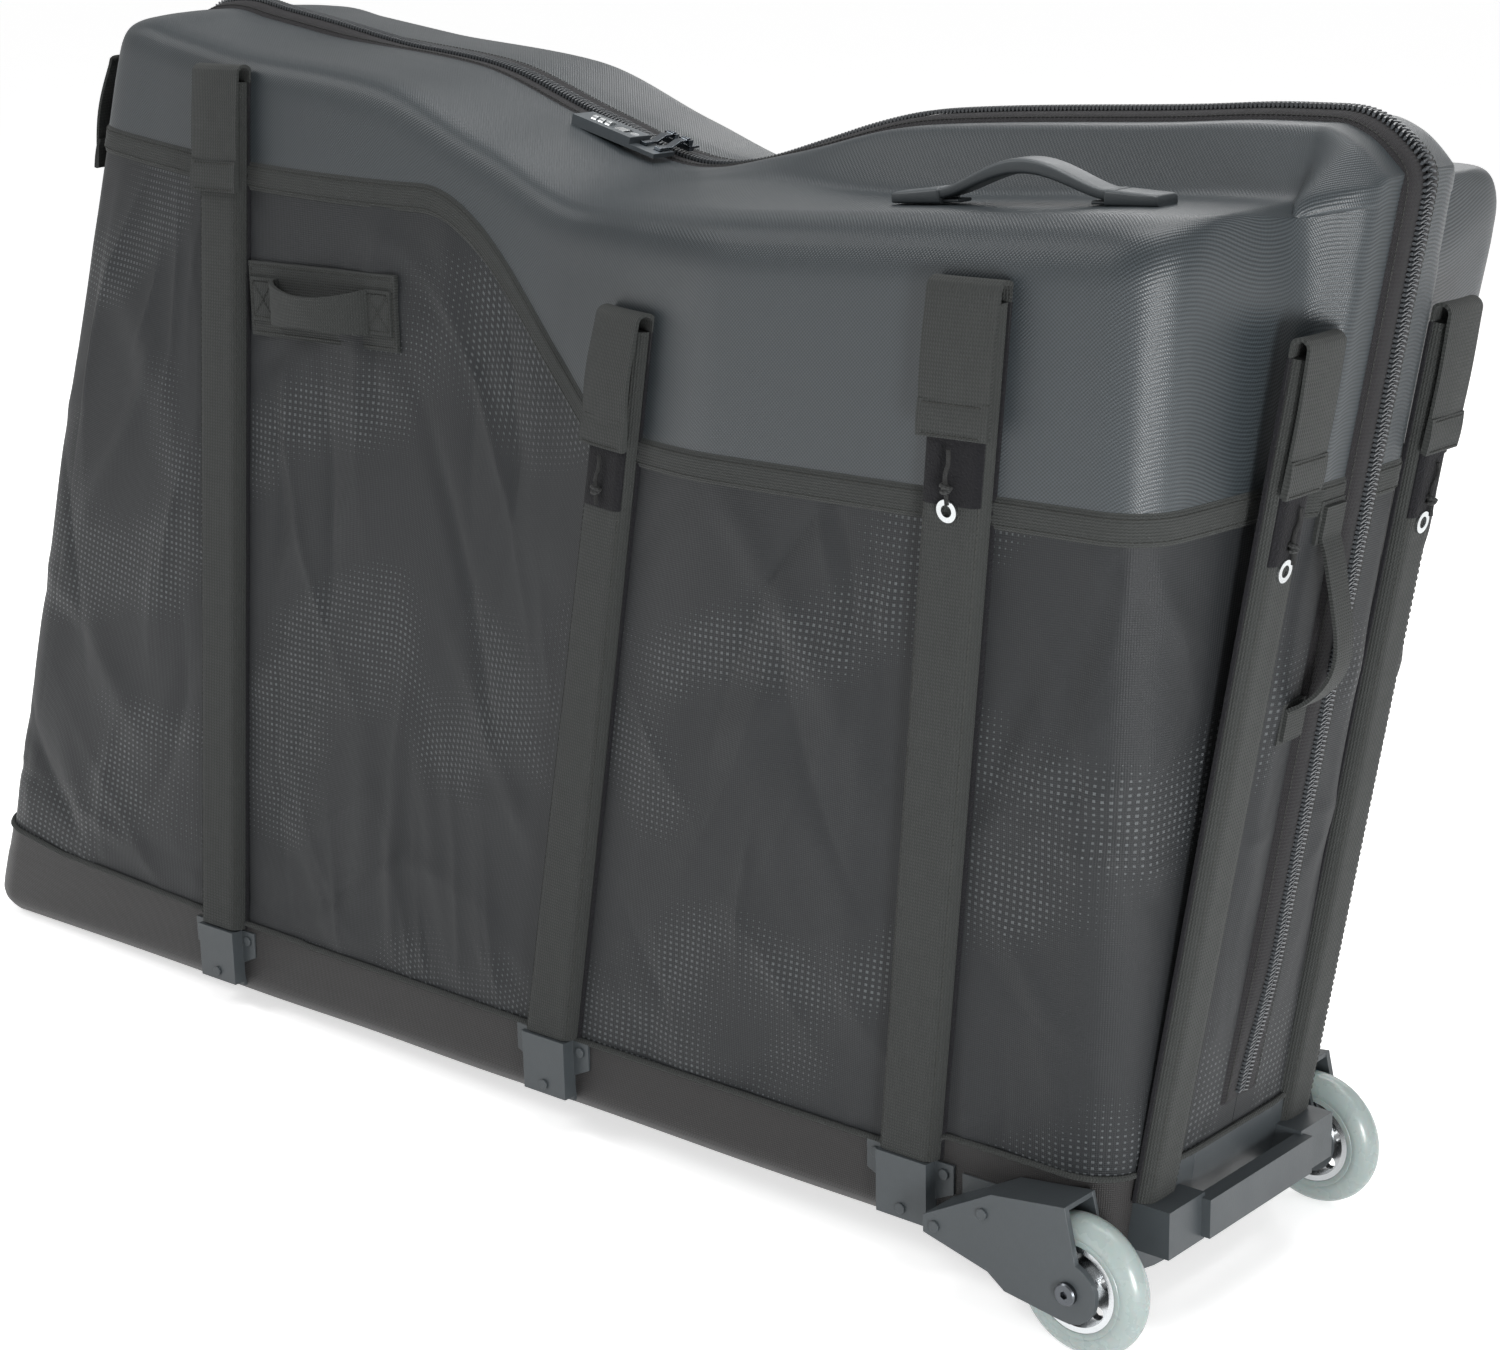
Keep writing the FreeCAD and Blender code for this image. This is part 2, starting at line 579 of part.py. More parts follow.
def flap(name):
    """Tongue of a fold-over flap: it hangs down its sleeve's face from just above the open top."""
    width = size.sleeve_width if name in SIDE_SLEEVES else size.end_sleeve_width
    half = width / 2 + size.flap_overlap
    face = -(size.sleeve_thickness + size.flap_gap)
    return block((-half, face - size.flap_thickness, size.flap_rise - size.flap_length),
                 (half, face, size.flap_rise), flap_seat(name))


def eyelet(name):
    """Steel eyelet on a sleeve's face, below its flap."""
    seat = flap_seat(name)
    start = seat.multVec(Vector(0, -size.sleeve_thickness - size.fit_gap, -size.eyelet_drop))
    out = seat.Rotation.multVec(Vector(0, -1, 0))
    ring = Part.makeCylinder(size.eyelet_diameter / 2, size.eyelet_thickness, start, out)
    return ring.cut(Part.makeCylinder(size.eyelet_bore / 2, size.overrun, start - out * size.overrun / 2, out))


FLAPS = (*SIDE_SLEEVES, "nose", "tail")


def build_sleeves():
    tubes = [side_sleeve(name) for name in SIDE_SLEEVES] + [end_sleeve(name) for name in ("nose", "tail")]
    keep_shape("near_sleeves", Part.makeCompound([tube for tube, _ in tubes]))
    keep_shape("near_poles", Part.makeCompound([pole for _, pole in tubes]))
    keep_shape("near_eyelets", Part.makeCompound([eyelet("front"), eyelet("nose")]))
    for name in FLAPS:
        keep_shape(f"near_{name}_flap", flap(name))


# Handles

def arch(length, width, thickness, rise, seat):
    """Bent strap on a seat: local X along it, local Z out of the surface."""
    inner = [(length * (share - 0.5), rise * lift) for share, lift in ARCH_SHARES]
    outer_line = [(x * (1 + 2 * thickness / length), z + thickness) for x, z in inner]
    return prism(inner + outer_line[::-1], -width / 2, width / 2, seat)


handle_centre = size.base_length - size.handle_set_back
handle_offset = (size.riser_width / 2 + half_pod - size.shoulder) / 2


def ledge_seat():
    """Placement on the pod's ledge under the carry handle, with local X forward."""
    inner, outer_edge = grown("pod_start", 0)[2:4]
    start = inner + (outer_edge - inner) * ((-handle_offset - inner.y) / (outer_edge.y - inner.y))
    end = grown("front_corner", 0)[3]
    slope = (end.z - start.z) / (end.x - start.x)
    height = start.z + slope * (handle_centre - start.x)
    turn = Rotation(Vector(0, 1, 0), -math.degrees(math.atan(slope)))
    lift = turn.multVec(Vector(0, 0, size.fold_gap))
    return Placement(Vector(handle_centre, -handle_offset, height) + lift, turn)


def out_seat(seat):
    """The same place with local Z pointing out of the surface and local X kept."""
    return seat.multiply(Placement(Vector(), Rotation(Vector(1, 0, 0), 90)))


def build_handles():
    seat = ledge_seat()
    half = size.handle_length / 2
    grip_length = size.handle_length - 2 * size.handle_cap_length
    wide = size.handle_width / 2
    caps = []
    for end in (-1, 1):
        near, far = end * grip_length / 2, end * half
        step = near + end * size.handle_cap_length / 2
        points = [(near, 0), (far, 0), (far, size.handle_cap_height - size.grip_thickness / 2)]
        points += [(step, size.handle_cap_height), (near, size.handle_cap_height)]
        caps.append(prism(points, -wide, wide, seat))
    inner = grip_length - 2 * size.fit_gap
    lift = seat.multiply(Placement(Vector(0, 0, size.fit_gap), Rotation()))
    shoulder = size.grip_thickness
    grip = [(inner * (share - 0.5), shoulder / 2 + size.grip_rise * rise) for share, rise in ARCH_SHARES[1:-1]]
    under = [(-inner / 2, 0)] + grip + [(inner / 2, 0)]
    over = [(inner / 2, shoulder)] + [(x, z + size.grip_thickness) for x, z in grip[::-1]] + [(-inner / 2, shoulder)]
    keep_shape("near_carry_handle", Part.makeCompound(caps + [prism(under + over, -wide, wide, lift)]))

    along = SIDE_HANDLE_SHARE * size.base_length
    origin = Vector(along, -half_base - size.fit_gap - size.fold_gap, size.case_height - size.side_handle_drop)
    seat = out_seat(seat_on(origin, Vector(0, -1, 0), Vector(0, 0, 1)))
    reach = size.patch_length / 2
    wide = size.patch_width / 2
    patch = block((-reach, -wide, 0), (reach, wide, size.patch_thickness), seat)
    on_patch = seat.multiply(Placement(Vector(0, 0, size.patch_thickness), Rotation()))
    strap = arch(size.loop_length, size.loop_width, size.loop_thickness, size.loop_rise, on_patch)
    keep_shape("near_side_handle", Part.makeCompound([patch, strap]))

    middle = size.case_height - size.end_loop_drop
    slope = Vector(size.front_lean, 0, size.case_height)
    offset = zip_half + size.end_loop_gap + size.end_loop_width / 2
    origin = Vector(zip_front_x(middle) + sleeve_back, -offset, middle)
    facing = seat_on(origin, Vector(slope.z, 0, -slope.x), slope)
    along = out_seat(facing.multiply(Placement(Vector(), Rotation(Vector(0, 1, 0), -90))))
    span = size.end_loop_length - 2 * size.end_loop_tongue
    strap = arch(span, size.end_loop_width, size.loop_thickness, size.end_loop_rise, along)
    wide = size.end_loop_width / 2
    for end in (-1, 1):
        near, far = sorted((end * span / 2, end * size.end_loop_length / 2))
        strap = strap.fuse(block((near, -wide, 0), (far, wide, size.loop_thickness), along))
    keep_shape("near_end_handle", strap.removeSplitter())


# Lock, sliders and pulls on the ridge

def ridge_seat(along, offset):
    """Placement on the sloping ridge beside the lock: local X down the slope, local Z out of it."""
    start, end = grown("dip_start", 0)[0], grown("dip", 0)[0]
    slope = (end.z - start.z) / (end.x - start.x)
    turn = Rotation(Vector(0, 1, 0), -math.degrees(math.atan(slope)))
    foot = Vector(start.x + size.lock_offset, offset, start.z + slope * size.lock_offset)
    return Placement(foot + turn.multVec(Vector(along, 0, 0)), turn)


def lock_seat():
    """Placement at the rear inner corner of the lock's foot."""
    return ridge_seat(0, -zip_half - size.fold_gap).multiply(Placement(Vector(0, 0, size.fit_gap), Rotation()))


lock_middle = -size.lock_width / 2
dial_starts = [size.dial_first + index * size.dial_pitch for index in range(3)]
slider_places = [size.slider_first + index * size.slider_pitch for index in range(2)]


def build_lock():
    seat = lock_seat()
    forward = Vector(1, 0, 0)
    slack = size.dial_play
    high = size.lock_height + size.overrun
    body = block((0, -size.lock_width, 0), (size.lock_length, 0, size.lock_height))
    body = body.cut(block((size.step_start, -WIDE, size.step_height), (size.lock_length + WIDE, WIDE, high)))
    room = size.dial_diameter / 2 + slack
    span = size.dial_width + 2 * slack
    for start in dial_starts:
        low = Vector(start - slack, lock_middle, size.dial_axis_height)
        body = body.cut(Part.makeCylinder(room, span, low, forward))
        body = body.cut(block((low.x, lock_middle - room, low.z), (low.x + span, lock_middle + room, high)))
    pin_start = Vector(dial_starts[0] - size.dial_wall, lock_middle, size.dial_axis_height)
    pin_length = dial_starts[-1] - dial_starts[0] + size.dial_width + 2 * size.dial_wall
    body = body.fuse(Part.makeCylinder(size.dial_pin / 2, pin_length, pin_start, forward))
    key_foot = Vector(size.key_centre, lock_middle, size.lock_height - size.key_depth)
    body = body.cut(Part.makeCylinder(size.key_diameter / 2 + size.bolt_play, high, key_foot))
    half = size.release_width / 2 + slack
    end = size.release_start + size.release_length + size.release_travel + slack
    body = body.cut(block((size.release_start - slack, lock_middle - half, size.lock_height - size.release_height - slack),
                          (end, lock_middle + half, high)))
    tip = zip_half + size.fold_gap - size.pull_tip
    for place in slider_places:
        half = size.pull_width / 2 + size.slot_slack
        low = (place - half, tip - size.slot_slack, size.slot_floor)
        body = body.cut(block(low, (place + half, tip + size.pull_thickness + size.slot_slack, high)))
    keep_shape("lock_body", placed(body.removeSplitter(), seat))

    for index, start in enumerate(dial_starts, start=1):
        dial = turned(f"lock_dial_{index}", [
            (0, cell.dial_pin / 2 + cell.bolt_play), (cell.dial_width, cell.dial_pin / 2 + cell.bolt_play),
            (cell.dial_width, cell.dial_diameter / 2), (0, cell.dial_diameter / 2)])
        dial.Placement = seat.multiply(Placement(Vector(start, lock_middle, size.dial_axis_height), Rotation()))
        keep(f"lock_dial_{index}", dial)

    release = make("Part::Box", "lock_release", Length=cell.release_length, Width=cell.release_width,
                   Height=cell.release_height)
    corner = Vector(size.release_start, lock_middle - size.release_width / 2, size.lock_height - size.release_height)
    release.Placement = seat.multiply(Placement(corner, Rotation()))
    keep("lock_release", release)

    barrel = make("Part::Cylinder", "key_barrel", Radius=cell.key_diameter / 2,
                  Height=cell.key_depth - cell.dial_play)
    slot = make("Part::Box", "key_slot", Length=cell.key_slot_width, Width=cell.key_slot_length,
                Height=cell.key_slot_depth * 2)
    slot.Placement.Base = Vector(-size.key_slot_width / 2, -size.key_slot_length / 2,
                                 size.key_depth - size.dial_play - size.key_slot_depth)
    key = boolean("Part::Cut", "key_cylinder", barrel, slot)
    key.Placement = seat.multiply(Placement(key_foot + Vector(0, 0, size.dial_play), Rotation()))
    keep("key_cylinder", key)


def build_sliders():
    forward = Vector(1, 0, 0)
    half = size.slider_width / 2
    low = size.coil_height + size.slider_gap
    lifted = size.coil_height + size.slider_lift
    top = lifted + size.slider_plate
    saddle = [(-half, low), (-size.slider_split, low), (-size.slider_split, lifted), (half, lifted), (half, top), (-half, top)]
    inner = size.pull_width / 2 + size.pull_slack
    pin_y = -size.pin_offset
    sliders = []
    for index, place in enumerate(slider_places, start=1):
        seat = ridge_seat(place, 0)
        reach = size.slider_length / 2
        corners = [Vector(-reach, y, z) for y, z in saddle]
        slider = Part.Face(Part.makePolygon(corners + corners[:1])).extrude(Vector(size.slider_length, 0, 0))
        for side in (-1, 1):
            near, far = sorted((side * inner, side * (inner + size.post_width)))
            post = block((near, pin_y - size.post_depth / 2, top - size.slider_plate / 2),
                         (far, pin_y + size.post_depth / 2, size.post_top))
            slider = slider.fuse(post)
        pin_start = Vector(-inner - size.post_width / 2, pin_y, size.pin_height)
        slider = slider.fuse(Part.makeCylinder(size.pull_pin / 2, 2 * inner + size.post_width, pin_start, forward))
        sliders.append(placed(slider.removeSplitter(), seat))

        thick = size.pull_thickness
        centre = size.pin_height - thick / 2
        under = [(pin_y, centre), (-size.pull_bend, centre), (-size.pull_foot, size.pull_low)]
        under += [(thick - size.pull_tip, size.pull_low), (thick - size.pull_tip, size.hook_low)]
        over = [(-size.pull_tip, size.hook_low), (-size.pull_tip, size.pull_low + thick)]
        over += [(-size.pull_foot, size.pull_low + thick), (-size.pull_bend, centre + thick), (pin_y, centre + thick)]
        corners = [Vector(-size.pull_width / 2, y, z) for y, z in under + over]
        arm = Part.Face(Part.makePolygon(corners + corners[:1])).extrude(Vector(size.pull_width, 0, 0))
        eye_start = Vector(-size.pull_width / 2, pin_y, size.pin_height)
        eye = Part.makeCylinder(size.pull_eye / 2, size.pull_width, eye_start, forward)
        bore_start = eye_start - forward * size.pull_width
        bore = Part.makeCylinder(size.pull_pin / 2 + size.bolt_play, 3 * size.pull_width, bore_start, forward)
        keep_shape(f"zip_pull_{index}", placed(arm.fuse(eye).cut(bore).removeSplitter(), seat))
    keep_shape("zip_sliders", Part.makeCompound(sliders))


def build_cords():
    """Knotted pull cords that hang on the sleeves below their flaps."""
    cords = []
    for name in ("mid", "front", "nose", "tail"):
        seat = flap_seat(name)
        out = -size.sleeve_thickness - size.cord_gap - size.knot_diameter / 2
        top = seat.multVec(Vector(0, out, -size.cord_drop))
        low = seat.multVec(Vector(0, out, -size.cord_drop - size.cord_length))
        cords.append(rod(top, low, size.cord_diameter).fuse(Part.makeSphere(size.knot_diameter / 2, low)))
    keep_shape("near_pull_cords", Part.makeCompound(cords))


# Base

def both_sides(near):
    """A near shape together with its mirror image."""
    return near, near.mirror(Vector(), Vector(0, 1, 0))


def build_base():
    under_skirt = prism(skirt_points() + [(FAR, LOW), (LOW, LOW)], -WIDE, 0)
    near, far = both_sides(outer.common(under_skirt).cut(form(-size.tray_wall, centre=size.overrun)))
    keep_shape("base_tray", near.fuse(far).removeSplitter())

    edge = cell.board_corner
    long = cell.base_length - cell.board_start - cell.board_end
    wide = cell.base_width - cell.board_side * 2
    board = padded("base_board", "XY_Plane", [
        (edge, 0), (long - edge, 0), (long, edge), (long, wide - edge), (long - edge, wide),
        (edge, wide), (0, wide - edge), (0, edge)], cell.board_thickness)
    floor = size.tray_wall + size.fit_gap
    board.Placement.Base = Vector(size.board_start, -wide.number / 2, floor + size.board_thickness / 2)
    keep("base_board", board)

    side = (cell.cradle_width - cell.cradle_post) / 2
    cradle = padded("frame_cradle", "YZ_Plane", [
        (0, 0), (cell.cradle_width, 0), (cell.cradle_width, cell.cradle_foot), (cell.cradle_width - side, cell.cradle_foot),
        (cell.cradle_width - side, cell.cradle_height), (cell.cradle_width / 2, cell.cradle_height - cell.cradle_notch),
        (side, cell.cradle_height), (side, cell.cradle_foot), (0, cell.cradle_foot)], cell.cradle_length)
    cradle.Placement.Base = Vector(CRADLE_SHARE * size.base_length, -size.cradle_width / 2,
                                   floor + size.board_thickness + size.fit_gap)
    keep("frame_cradle", cradle)

    skids = []
    for number, side in enumerate((-1, 1), start=1):
        bar = make("Part::Box", f"skid_bar_{number}", Length=cell.skid_length, Width=cell.skid_width, Height=cell.skid_height)
        bar.Placement.Base = Vector(size.skid_start, side * (half_base - size.skid_inset) - size.skid_width / 2,
                                    -size.skid_height - size.fit_gap)
        skids.append(bar)
    group("rear_skids", skids)

    cap_start = size.base_length - size.cap_wrap
    ear_offset = half_base - size.ear_inset
    ear_end = size.base_length + size.ear_reach
    bar_end = size.base_length + size.bar_reach
    skin = skin_between(size.fit_gap, size.fit_gap + size.cap_wall)
    wall = block((cap_start, -WIDE, size.cap_foot_height), (FAR, 0, size.cap_height - size.fit_gap))
    lobe_half = size.lobe_width / 2
    lobe = block((cap_start, -ear_offset - lobe_half, size.fit_gap),
                 (FAR, -ear_offset + lobe_half, size.cap_foot_height))
    near, far = both_sides(skin.common(wall.fuse(lobe)))
    cap = near.fuse(far)
    ear_half = size.ear_width / 2
    ear_top = size.ear_foot_height + size.ear_height
    solid_front = form(size.fit_gap + size.cap_wall / 2, centre=size.overrun)
    ear = block((cap_start, -ear_offset - ear_half, size.ear_foot_height),
                (ear_end, -ear_offset + ear_half, ear_top)).cut(solid_front)
    near, far = both_sides(ear)
    cap = cap.fuse(near).fuse(far)
    bar_low = size.ear_foot_height + (size.ear_height - size.bar_height) / 2
    bar_half = ear_offset - ear_half + size.bar_overlap
    bar = block((bar_end - size.bar_depth, -bar_half, bar_low), (bar_end, bar_half, bar_low + size.bar_height))
    keep_shape("end_cap", cap.fuse(bar).removeSplitter())


def build_anchors():
    plates = []
    spots = []
    top = size.skirt_height - size.anchor_top_drop
    back = -half_base - size.fit_gap
    for station in SIDE_SLEEVES.values():
        foot = side_point(station, size.skirt_height, pole_depth)
        head = side_point(station, size.case_height, pole_depth)
        way = (head - foot).normalize()
        middle = foot.x + way.x / way.z * (top - size.skirt_height)
        half = size.anchor_width / 2
        low_half = size.anchor_foot_width / 2
        points = [(middle - half, top), (middle + half, top), (middle + half, size.anchor_waist_height + size.rivet_inset),
                  (middle + low_half, size.anchor_waist_height), (middle + low_half, size.anchor_foot_height),
                  (middle - low_half, size.anchor_foot_height), (middle - low_half, size.anchor_waist_height),
                  (middle - half, size.anchor_waist_height + size.rivet_inset)]
        plate = prism(points, back - size.anchor_plate, back)
        pocket_half = size.pocket_width / 2
        pocket = block((middle - pocket_half, back - size.pocket_thickness, size.pocket_foot_height),
                       (middle + pocket_half, back, top))
        socket = rod(foot - way * size.socket_depth, foot + way * size.overrun,
                     size.pole_diameter + 2 * size.socket_play)
        plates.append(plate.fuse(pocket).cut(socket).removeSplitter())
        for side in (-1, 1):
            spot = Vector(middle + side * (half - size.rivet_inset), back - size.anchor_plate - size.bolt_play,
                          top - size.rivet_inset)
            spots.append(spot)
        pocket_face = back - size.pocket_thickness - size.bolt_play
        spots.append(Vector(middle, pocket_face, size.pocket_foot_height + size.rivet_inset))
    face = -plate_face - size.plate_thickness - size.bolt_play
    spots.append(Vector(axle_x - size.plate_rivet_back, face, size.plate_rivet_height))
    spots.append(Vector(axle_x - size.tip_rivet_back, face, size.tip_rivet_height))
    rivets = []
    for spot in spots:
        rivets += both_sides(Part.makeCylinder(size.rivet_diameter / 2, size.rivet_height, spot, Vector(0, -1, 0)))
    keep_shape("near_anchors", Part.makeCompound(plates))
    keep_shape("base_rivets", Part.makeCompound(rivets))


def ring_seat():
    """Placement of the ring's hinge on the rear end: local Z up the face, local -Y outwards."""
    slope = Vector(size.rear_lean, 0, size.case_height)
    out = Vector(-slope.z, 0, slope.x).normalize()
    origin = Vector(rear_x(size.ring_height), size.ring_inset - half_base, size.ring_height) + out * size.ring_depth
    return seat_on(origin, out, slope)


def build_ring():
    seat = ring_seat()
    half = size.tab_width / 2
    back = size.ring_depth - size.fit_gap
    tab = block((-half, back - size.tab_depth, -size.tab_height / 2), (half, back, size.tab_height / 2))
    hole = rod(Vector(-size.overrun, 0, 0), Vector(size.overrun, 0, 0), size.ring_wire + 2 * size.ring_play)
    keep_shape("rear_tab", placed(tab.cut(hole), seat))
    ring = make("Part::Torus", "rear_ring", Radius1=cell.ring_diameter / 2, Radius2=cell.ring_wire / 2)
    hang = Placement(Vector(0, 0, -size.ring_diameter / 2), Rotation(Vector(1, 0, 0), 90))
    ring.Placement = seat.multiply(hang)
    keep("rear_ring", ring)


# Wheels

def wheel_seat(face):
    """Placement on the near axle with local X pointing out from the case, at a distance from its middle."""
    return Placement(Vector(axle_x, -face, axle_z), Rotation(Vector(0, 0, 1), -90))


def build_wheels():
    centre = wheel_centre
    bore = cell.hub_diameter / 2 + cell.bolt_play
    radius = cell.wheel_diameter / 2
    width = cell.tyre_width
    tyre = turned("near_tyre", [
        (0, bore), (width, bore), (width, radius - cell.tyre_crown), (width - cell.crown_step, radius - cell.crown_step),
        (width - cell.tyre_crown, radius), (cell.tyre_crown, radius), (cell.crown_step, radius - cell.crown_step),
        (0, radius - cell.tyre_crown)])
    tyre.Placement = wheel_seat(centre - size.tyre_width / 2)
    keep("near_tyre", tyre)

    rim = cell.hub_diameter / 2
    inner = rim - cell.hub_rim
    boss = cell.hub_boss_diameter / 2
    seat_radius = cell.bearing_diameter / 2 + cell.bolt_play
    hole = cell.hub_bore / 2
    wide = cell.hub_width
    low = (wide - cell.hub_web) / 2
    high = (wide + cell.hub_web) / 2
    deep = cell.bearing_width + cell.bolt_play
    disc = turned("hub_disc", [
        (deep, hole), (wide - deep, hole), (wide - deep, seat_radius), (wide, seat_radius), (wide, boss), (high, boss),
        (high, inner), (wide, inner), (wide, rim), (0, rim), (0, inner), (low, inner), (low, boss), (0, boss),
        (0, seat_radius), (deep, seat_radius)])
    windows = []
    for index in range(SPOKE_COUNT):
        window = make("Part::Cylinder", f"hub_window_{index + 1}", Radius=cell.window_diameter / 2, Height=wide)
        turn = Rotation(Vector(1, 0, 0), index * math.degrees(2 * math.pi) / SPOKE_COUNT)
        middle = (size.hub_boss_diameter + size.hub_diameter - 2 * size.hub_rim) / 4
        window.Placement = Placement(turn.multVec(Vector(0, 0, middle)),
                                     turn.multiply(Rotation(Vector(0, 0, 1), Vector(1, 0, 0))))
        windows.append(window)
    cutter = doc.addObject("Part::Compound", "hub_windows")
    cutter.Links = windows
    hub = boolean("Part::Cut", "near_hub", disc, cutter)
    hub.Placement = wheel_seat(centre - size.hub_width / 2)
    keep("near_hub", hub)

    races = []
    shaft = cell.bolt_diameter / 2 + cell.bolt_play
    for number, face in enumerate((centre - size.hub_width / 2, centre + size.hub_width / 2 - size.bearing_width), start=1):
        race = turned(f"bearing_{number}", [
            (0, shaft), (cell.bearing_width, shaft), (cell.bearing_width, cell.bearing_diameter / 2),
            (0, cell.bearing_diameter / 2)])
        race.Placement = wheel_seat(face)
        races.append(race)
    group("near_bearings", races)

    tail = cell.base_width / 2 + cell.cheek_gap - cell.bolt_tail
    head_face = cell.base_width / 2 + cell.plate_gap + cell.plate_thickness + cell.bolt_play
    length = head_face - tail
    head = cell.bolt_head_height
    bolt = turned("axle_bolt", [
        (0, 0), (length + head, 0), (length + head, cell.bolt_head_diameter / 2 - cell.bolt_tail / 4),
        (length + head - cell.bolt_tail / 4, cell.bolt_head_diameter / 2), (length, cell.bolt_head_diameter / 2),
        (length, cell.bolt_diameter / 2), (0, cell.bolt_diameter / 2)])
    key = make("Part::Prism", "axle_socket", Circumradius=cell.bolt_socket / 2, Height=cell.socket_sink * 2)
    key.Placement = Placement(Vector((length + head).number - size.socket_sink, 0, 0),
                              Rotation(Vector(0, 0, 1), Vector(1, 0, 0)))
    axle = boolean("Part::Cut", "axle_core", bolt, key)
    axle.Placement = wheel_seat(tail.number)
    rings = [axle]
    spans = ((cheek_face + size.cheek_thickness + size.bolt_play, centre - size.hub_width / 2 - size.spacer_gap),
             (centre + size.hub_width / 2 + size.spacer_gap, plate_face - size.bolt_play))
    for number, (start, end) in enumerate(spans, start=1):
        ring = Part.makeCylinder(size.spacer_diameter / 2, end - start, Vector(), Vector(1, 0, 0))
        ring = ring.cut(Part.makeCylinder(shaft.number, end - start, Vector(), Vector(1, 0, 0)))
        thing = doc.addObject("Part::Feature", f"axle_spacer_{number}")
        thing.Shape = ring
        thing.Placement = wheel_seat(start)
        rings.append(thing)
    group("near_axle", rings)


def build_housing():
    tip = axle_x - size.housing_tip_back
    bend = axle_x - size.housing_bend_back
    crest = axle_x - size.housing_crest_back
    toe = axle_x - size.housing_toe_back
    top = [(tip, size.housing_tip_low), (tip, size.housing_tip_high),
           (bend, size.housing_bend_height), (crest, size.housing_crest_height)]
    radius = size.housing_nose_radius
    nose = [(axle_x + radius * math.cos(turn), axle_z + radius * math.sin(turn)) for turn in NOSE_TURNS]
    foot = [(toe, size.housing_toe_height), (axle_x - size.housing_step_back, size.housing_step_height)]
    points = top + nose + foot
    outer_face = plate_face + size.plate_thickness
    plate = prism(points, -outer_face, -plate_face)
    cheek = prism(points, -cheek_face - size.cheek_thickness, -cheek_face)
    bridge = [top[2], top[3], (top[3][0], top[3][1] - size.housing_roof), (top[2][0], top[2][1] - size.housing_roof)]
    roof = prism(bridge, -outer_face, -cheek_face)
    rise = (size.housing_crest_height - size.housing_bend_height) / (crest - bend)
    end = axle_x - size.housing_block_back
    fill = [*top[:3], (end, size.housing_bend_height + rise * (end - bend)), (end, size.housing_step_height)]
    rear = prism(fill, -outer_face, -cheek_face)
    pad = block((axle_x - size.pad_back, -cheek_face, size.pad_foot),
                (toe, -half_base - size.fit_gap, size.pad_head))
    bore = rod(Vector(axle_x, 0, axle_z), Vector(axle_x, -WIDE, axle_z), size.bolt_diameter + 4 * size.bolt_play)
    housing = plate.fuse([cheek, roof, rear, pad]).cut(bore)
    keep_shape("near_wheel_housing", housing.removeSplitter())


# Standing on the floor

def standing():
    """Placement that rests the case on its wheels and on the skids' front edges, middle of its box at the origin."""
    reach = axle_x - size.skid_start - size.skid_length
    rise = axle_z + size.skid_height + size.fit_gap
    radius = size.wheel_diameter / 2
    tilt = math.asin(radius / math.hypot(reach, rise)) - math.atan2(rise, reach)
    turn = Rotation(Vector(0, 1, 0), -math.degrees(tilt))
    axle = Vector(axle_x, 0, axle_z)
    return Placement(Vector(0, 0, radius) - turn.multVec(axle), turn)


NEAR_ONLY = ("near_end_handle",)

build_skin()
build_zip()
build_sleeves()
build_handles()
build_lock()
build_sliders()
build_cords()
build_base()
build_anchors()
build_ring()
build_wheels()
build_housing()
doc.recompute()

stand = standing()
for thing in pieces.values():
    thing.Placement = stand.multiply(thing.Placement)
doc.recompute()
box = Part.makeCompound([thing.Shape for thing in pieces.values()]).BoundBox
shift = Placement(Vector(-(box.XMin + box.XMax) / 2, 0, 0), Rotation())
stand = shift.multiply(stand)
for thing in pieces.values():
    thing.Placement = shift.multiply(thing.Placement)
for label, thing in list(pieces.items()):
    if label.startswith("near_") and label not in NEAR_ONLY:
        mirrored(label.replace("near_", "far_"), thing)
doc.recompute()

for thing in doc.Objects:
    if "Invalid" in thing.State or "Error" in thing.State:
        raise RuntimeError(f"{thing.Label} did not build")
for label, thing in pieces.items():
    if thing.Shape.isNull() or not thing.Shape.isValid() or not thing.Shape.Solids:
        raise RuntimeError(f"{label} has no sound shape")

os.makedirs("parts", exist_ok=True)
for label, thing in pieces.items():
    thing.Shape.exportStep(f"parts/{label}.step")
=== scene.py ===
"""Looks of the bike travel case: moulded shells, padded fabric, webbing, zip, lock and wheels on the CAD frame.

Shapes are worked out in the case's own frame in millimetres (X from the foot of the rear end towards the
wheels, near side -Y, Z up from the underside of the base) and moved to the row frame at the end.
"""

import json
import math

